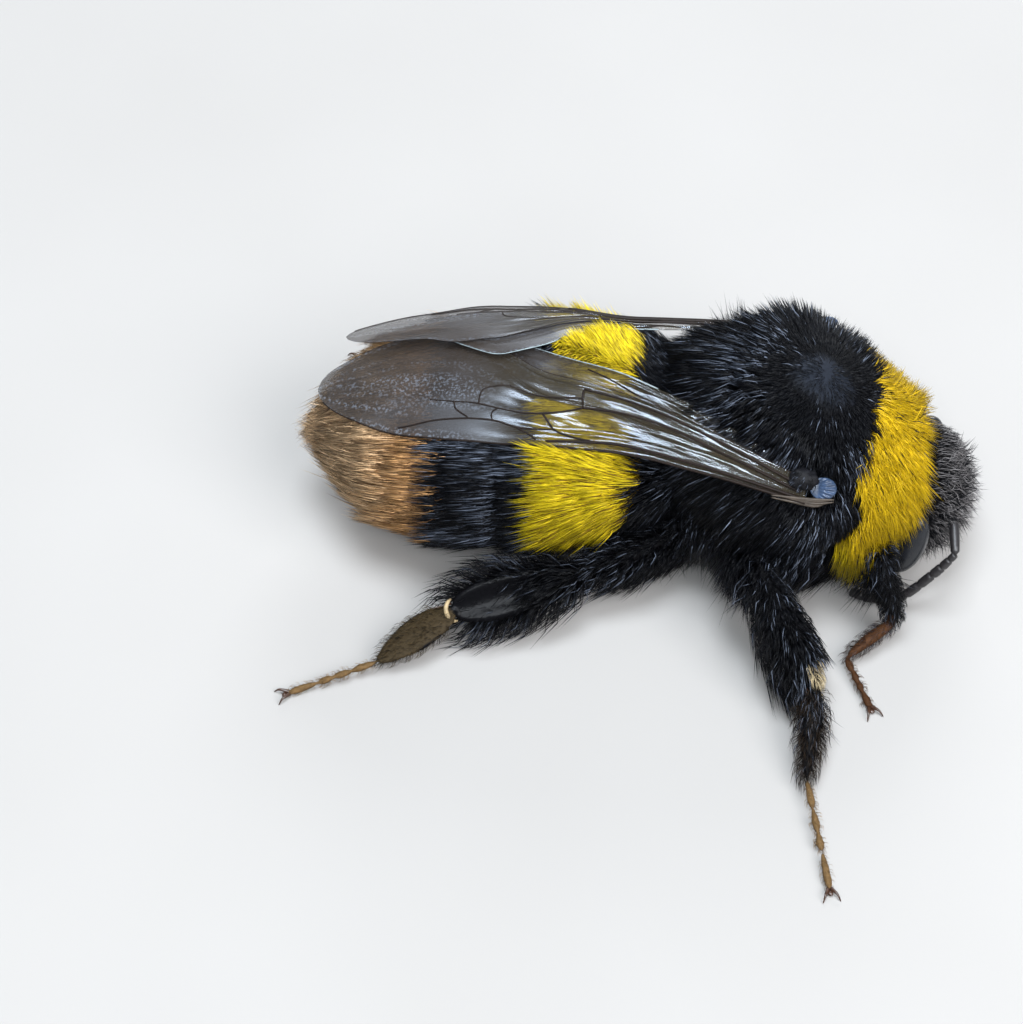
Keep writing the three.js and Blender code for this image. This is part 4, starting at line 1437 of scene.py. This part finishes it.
# Veins of a forewing as (root to tip, front edge to rear edge), each from 0 to 1, and their
# thickness at either end.
VEINS = [
    ([(0.01, 0.14), (0.15, 0.13), (0.3, 0.12), (0.43, 0.10), (0.52, 0.05)], 0.075, 0.05),
    ([(0.01, 0.40), (0.12, 0.55), (0.27, 0.66), (0.37, 0.63), (0.45, 0.57)], 0.06, 0.04),
    ([(0.01, 0.66), (0.14, 0.82), (0.3, 0.90), (0.45, 0.88)], 0.06, 0.035),
    ([(0.45, 0.88), (0.452, 0.76), (0.45, 0.57)], 0.035, 0.035),
    ([(0.45, 0.76), (0.52, 0.67), (0.60, 0.60)], 0.032, 0.022),
    ([(0.45, 0.57), (0.49, 0.47), (0.53, 0.39)], 0.035, 0.035),
    ([(0.53, 0.39), (0.575, 0.34), (0.62, 0.31), (0.665, 0.29), (0.71, 0.27), (0.76, 0.27)], 0.035, 0.015),
    ([(0.53, 0.39), (0.515, 0.30), (0.50, 0.21), (0.47, 0.165), (0.43, 0.12)], 0.035, 0.04),
    ([(0.51, 0.22), (0.545, 0.185), (0.58, 0.17)], 0.03, 0.03),
    ([(0.54, 0.06), (0.555, 0.12), (0.58, 0.17)], 0.03, 0.03),
    ([(0.58, 0.17), (0.62, 0.19), (0.67, 0.165), (0.75, 0.12), (0.82, 0.05)], 0.032, 0.028),
    ([(0.62, 0.31), (0.632, 0.25), (0.63, 0.19)], 0.026, 0.026),
    ([(0.71, 0.27), (0.705, 0.22), (0.68, 0.17)], 0.026, 0.026),
    ([(0.66, 0.29), (0.655, 0.42), (0.63, 0.52), (0.60, 0.60)], 0.026, 0.022),
]
HIND_VEINS = [
    ([(0.02, 0.15), (0.3, 0.12), (0.7, 0.06), (0.95, 0.04)], 0.05, 0.03),
    ([(0.02, 0.45), (0.3, 0.5), (0.6, 0.42), (0.85, 0.4)], 0.04, 0.02),
    ([(0.3, 0.5), (0.45, 0.68), (0.6, 0.85)], 0.03, 0.02),
]
SHEET = 0.012                                # half the thickness of the membrane
SAG = 0.45                                   # how far the membrane hollows between veins, over its width
ROOT_SAG = 0.75                              # the same near the wing's root

# The main veins' places between the front edge and the rear edge, at shares of the length.
MAIN_VEINS = [
    ([0, 0.15, 0.3, 0.43, 0.52, 1], [0.14, 0.13, 0.12, 0.10, 0.05, 0.03]),
    ([0, 0.12, 0.27, 0.37, 0.45, 0.53, 0.62, 0.71, 1], [0.40, 0.55, 0.66, 0.63, 0.57, 0.39, 0.31, 0.27, 0.3]),
    ([0, 0.14, 0.3, 0.45, 0.6, 1], [0.66, 0.82, 0.90, 0.88, 0.74, 0.7]),
]


def hollows(s, w, chord):
    """How the membrane hollows between the main veins, which fades towards the tip."""
    edges = [0 * s, *[np.interp(s, at, place) for at, place in MAIN_VEINS], 1 + 0 * s]
    depth = 0 * s
    for near, far in zip(edges, edges[1:]):
        t = np.clip((w - near) / np.maximum(far - near, 1e-3), 0, 1)
        depth = depth + (far - near) * t * (1 - t)
    return -mix(ROOT_SAG, SAG, smooth(s, 0.1, 0.4)) * depth * chord * mix(1, 0.25, smooth(s, 0.42, 0.66))


def wing_surface(side, outer, inner, root, tip, round_from, above=0.0):
    """Returns f(s, w): the middle of a wing from root to tip and from its front to its rear edge.

    outer and inner give its edges' distance from the bee's middle at x. Its end is round from
    round_from to the tip, and it lies above the shared height of the wings by that much.
    """

    def wavy(u, v, scale, seed):
        return wander(np.stack([u.ravel(), v.ravel(), 0 * u.ravel()], 1), scale, seed).reshape(u.shape)

    def place(s, w):
        x = mix(root, tip, s)
        blunt = blunted(round_from - x, round_from - tip)
        front, rear = outer(x), inner(x)
        centre, half = (front + rear) / 2, (front - rear) / 2
        y = SIDES[side] * (centre + half * blunt * (1 - 2 * w))
        z = wing_height(side, x, y) + above + hollows(s, w, 2 * half)
        z = z + 0.05 * wavy(x * 0.45, y, 1.9, seed=61) * mix(0.2, 0.7, smooth(s, 0.3, 0.6))
        folds = 0.034 * wavy(s, w * 1.7, 0.5, seed=63) * mix(0.45, 1, smooth(s, 0.1, 0.3))
        return np.stack([x, y, z + folds * mix(1, 0.15, smooth(s, 0.5, 0.72))], -1)

    return place


def membrane(name, place, along, across, node):
    """A thin closed sheet over a wing's surface, as a grid of points along and across it."""
    s, w = np.meshgrid(np.linspace(0, 1, along), np.linspace(0, 1, across), indexing="ij")
    middle = place(s, w)
    half = np.stack([0 * s, 0 * s, SHEET * np.sin(np.pi * np.clip(w * 0.98 + 0.01, 0, 1)) ** 0.3], -1)
    rings = np.concatenate([middle + half, (middle - half)[:, ::-1]], axis=1)
    made = piece(name, *rings_mesh(rings), MEMBRANE, "wing", [node])
    outward = np.concatenate([s, s], axis=1).ravel()
    inward = np.concatenate([w, w[:, ::-1]], axis=1).ravel()
    keep(made, "outward", "FLOAT", np.append(smooth(outward, 0.5, 0.72), [0, 1]))
    grain = np.stack([2 * outward, 9 * inward, 0 * outward], 1)
    keep(made, "grain", "FLOAT_VECTOR", np.pad(grain, ((0, 2), (0, 0))))


def vein_tubes(place, veins):
    parts = []
    for bends, thick, thin in veins:
        t = np.linspace(0, 1, 10 * (len(bends) - 1) + 1)
        s, w = spline(bends, t).T
        parts.append(tube(place(s, w), mix(thick, thin, t) * 0.72 + 0.014, flat=0.9))
    return parts


def margin(place, w, thick, start=0.0):
    """A vein along an edge of the wing."""
    s = np.linspace(start, 0.985, 120)
    return tube(place(s, np.full(len(s), w)), thick * mix(1, 0.35, s), flat=0.9)


def wings():
    for side, shape in WINGS.items():
        costa, inner, hind = costa_lines[side], inner_lines[side], hind_widths[side]
        tip = shape["costa"][-1][0]
        hook = shape["hook"]

        def fore_inner(x, inner=inner, hind=hind, hook=hook):
            return inner(x) + 0.75 * hind(x) * smooth(x, hook - 0.6, hook + 1.5)

        def hind_outer(x, inner=inner, hind=hind):
            return inner(x) + hind(x) + HINDWING_OVERLAP

        fore = wing_surface(side, costa, fore_inner, FOREWING_ROOT, tip, shape["round_from"])
        back = wing_surface(side, hind_outer, inner, HINDWING_ROOT, hook - 0.4, hook + 2.0, -HINDWING_BELOW)
        membrane(f"forewing_membrane_{side}", fore, 200, 76, f"forewing_{side}")
        membrane(f"hindwing_membrane_{side}", back, 110, 40, f"hindwing_{side}")
        edges = [margin(fore, w=0.0, thick=0.065), margin(fore, w=1.0, thick=0.02)]
        veins = joined([*vein_tubes(fore, VEINS), *edges])
        piece(f"forewing_veins_{side}", *veins, VEIN, "wing")
        piece(f"hindwing_veins_{side}", *joined(vein_tubes(back, HIND_VEINS)), VEIN, "wing")
        piece(f"hindwing_edge_{side}", *margin(back, w=1.0, thick=0.034, start=0.4), EDGE, "wing")


def wing_roots():
    """The ridged scale over each wing's root, the knob over its hinge and the small plates below."""
    for name, side in SIDES.items():
        place = TEGULA_PLACE * [1, side, 1]

        def scale_rule(points, side=side):
            x, y, _ = points.T
            ridges = 0.24 * np.cos(30 * np.arctan2(y, x + 0.5)) * smooth(np.hypot(y, x + 0.5), 0.3, 0.6)
            height = (1 + ridges) * (1 - 0.8 * smooth(-x, -0.12, 0.2))
            return turned(points * np.stack([1 + 0 * height, 1 + 0 * height, height], 1), "X", -side * 0.75)

        scale = ball(place, [0.45, 0.38, 0.17], rows=36, around=120, rule=scale_rule)
        piece(f"wing_scale_{name}", *scale, TEGULA_SHELL, "shell", [f"tegula_{name}"])
        turn, rise = np.meshgrid(np.arange(64) / 64, np.linspace(0.01, 0.99, 44))
        piece(f"wing_knob_{name}", *rings_mesh(knob_form(side)(turn, rise)), KNOB, "shell")
        parts = []
        t = np.linspace(0, 1, 24)
        radius = 0.05 * np.sin(np.pi * mix(0.03, 0.97, t)) ** 0.6
        for k in range(6):
            fore = place + [0.38 - 0.14 * (k % 3), 0.33 * side, -0.16 - 0.04 * k]
            under = place + [-0.45 + 0.1 * (k % 2), (0.38 + 0.02 * k) * side, -0.14 - 0.045 * k]
            back = place + [-1.75 + 0.2 * (k % 4), 0.4 * side, -0.02 - 0.03 * k]
            parts.append(tube(spline([fore, under, back], t), radius, around=10))
        piece(f"wing_root_plates_{name}", *joined(parts), ROOT_PLATE, "horn")


# ---- floor, light and camera ----

LOOK_AROUND = 4.5                            # degrees from the bee's right side towards her head
LOOK_DOWN = 51.0
STAND_OFF = 100.0
AIM_ASIDE = -9.95                            # the picture's middle from the thorax, along its width
AIM_UP = -2.88
LENS = 100.3

FLOOR_HALF = 0.6                             # metres from here on
LIGHTS_AIM = (0, 0, 0.005)
# Each light's place, width, power and colour.
LIGHTS = {
    "sky": ((-0.02, -0.02, 0.28), 0.13, 1.05, (0.84, 0.92, 1.0)),
    "side": ((0.02, 0.25, 0.12), 0.16, 0.7, (0.91, 0.95, 1.0)),
    "spark": ((-0.02, -0.17, 0.225), 0.07, 0.42, (0.88, 0.94, 1.0)),
    "fill": ((0.15, -0.13, 0.2), 0.22, 1.16, (0.96, 0.97, 1.0)),
}


def camera():
    around = math.radians(LOOK_AROUND)
    down = math.radians(LOOK_DOWN)
    across = np.array([math.cos(around), math.sin(around), 0])
    up = np.array([-math.sin(around) * math.sin(down), math.cos(around) * math.sin(down), math.cos(down)])
    back = np.cross(across, up)
    aim = THORAX + AIM_ASIDE * across + AIM_UP * up
    data = bpy.data.cameras.new("camera")
    data.sensor_fit = "HORIZONTAL"
    data.sensor_width = 36.0
    data.lens = LENS
    data.clip_start = 0.001
    made = shown("camera", data)
    turn = Matrix(np.stack([across, up, back], 1).tolist()).to_4x4()
    made.matrix_world = Matrix.Translation(Vector(to_row(aim + STAND_OFF * back))) @ turn
    bpy.context.scene.camera = made


def studio():
    mesh = bpy.data.meshes.new("floor")
    corners = [(-1, -1), (1, -1), (1, 1), (-1, 1)]
    mesh.from_pydata([(x * FLOOR_HALF, y * FLOOR_HALF, 0) for x, y in corners], [], [(0, 1, 2, 3)])
    look = Look("floor_paper", Roughness=0.8, Specular_IOR_Level=0.2)
    paper = look.ramp(look.noise(60.0, 2.0), 0.3, 0.7, (0.305, 0.293, 0.280), (0.320, 0.308, 0.295))
    look.drive("Base Color", paper)
    mesh.materials.append(look.material)
    shown("floor", mesh)
    world = bpy.data.worlds.new("studio")
    world.use_nodes = True
    background = world.node_tree.nodes["Background"]
    background.inputs["Color"].default_value = (0.91, 0.95, 1.0, 1)
    background.inputs["Strength"].default_value = 0.2
    bpy.context.scene.world = world
    bpy.context.scene.view_settings.view_transform = "Standard"
    for name, (place, width, power, colour) in LIGHTS.items():
        light = bpy.data.lights.new(name, "AREA")
        light.shape = "DISK"
        light.size = width
        light.energy = power
        light.color = colour
        made = shown(name, light)
        made.location = place
        made.rotation_euler = (Vector(LIGHTS_AIM) - Vector(place)).to_track_quat("-Z", "Y").to_euler()


skin()
thorax_coats()
abdomen_coats()
head_coat()
leg_coats()
eyes()
feelers()
mouth()
claws()
ankles()
wings()
wing_roots()
camera()
studio()
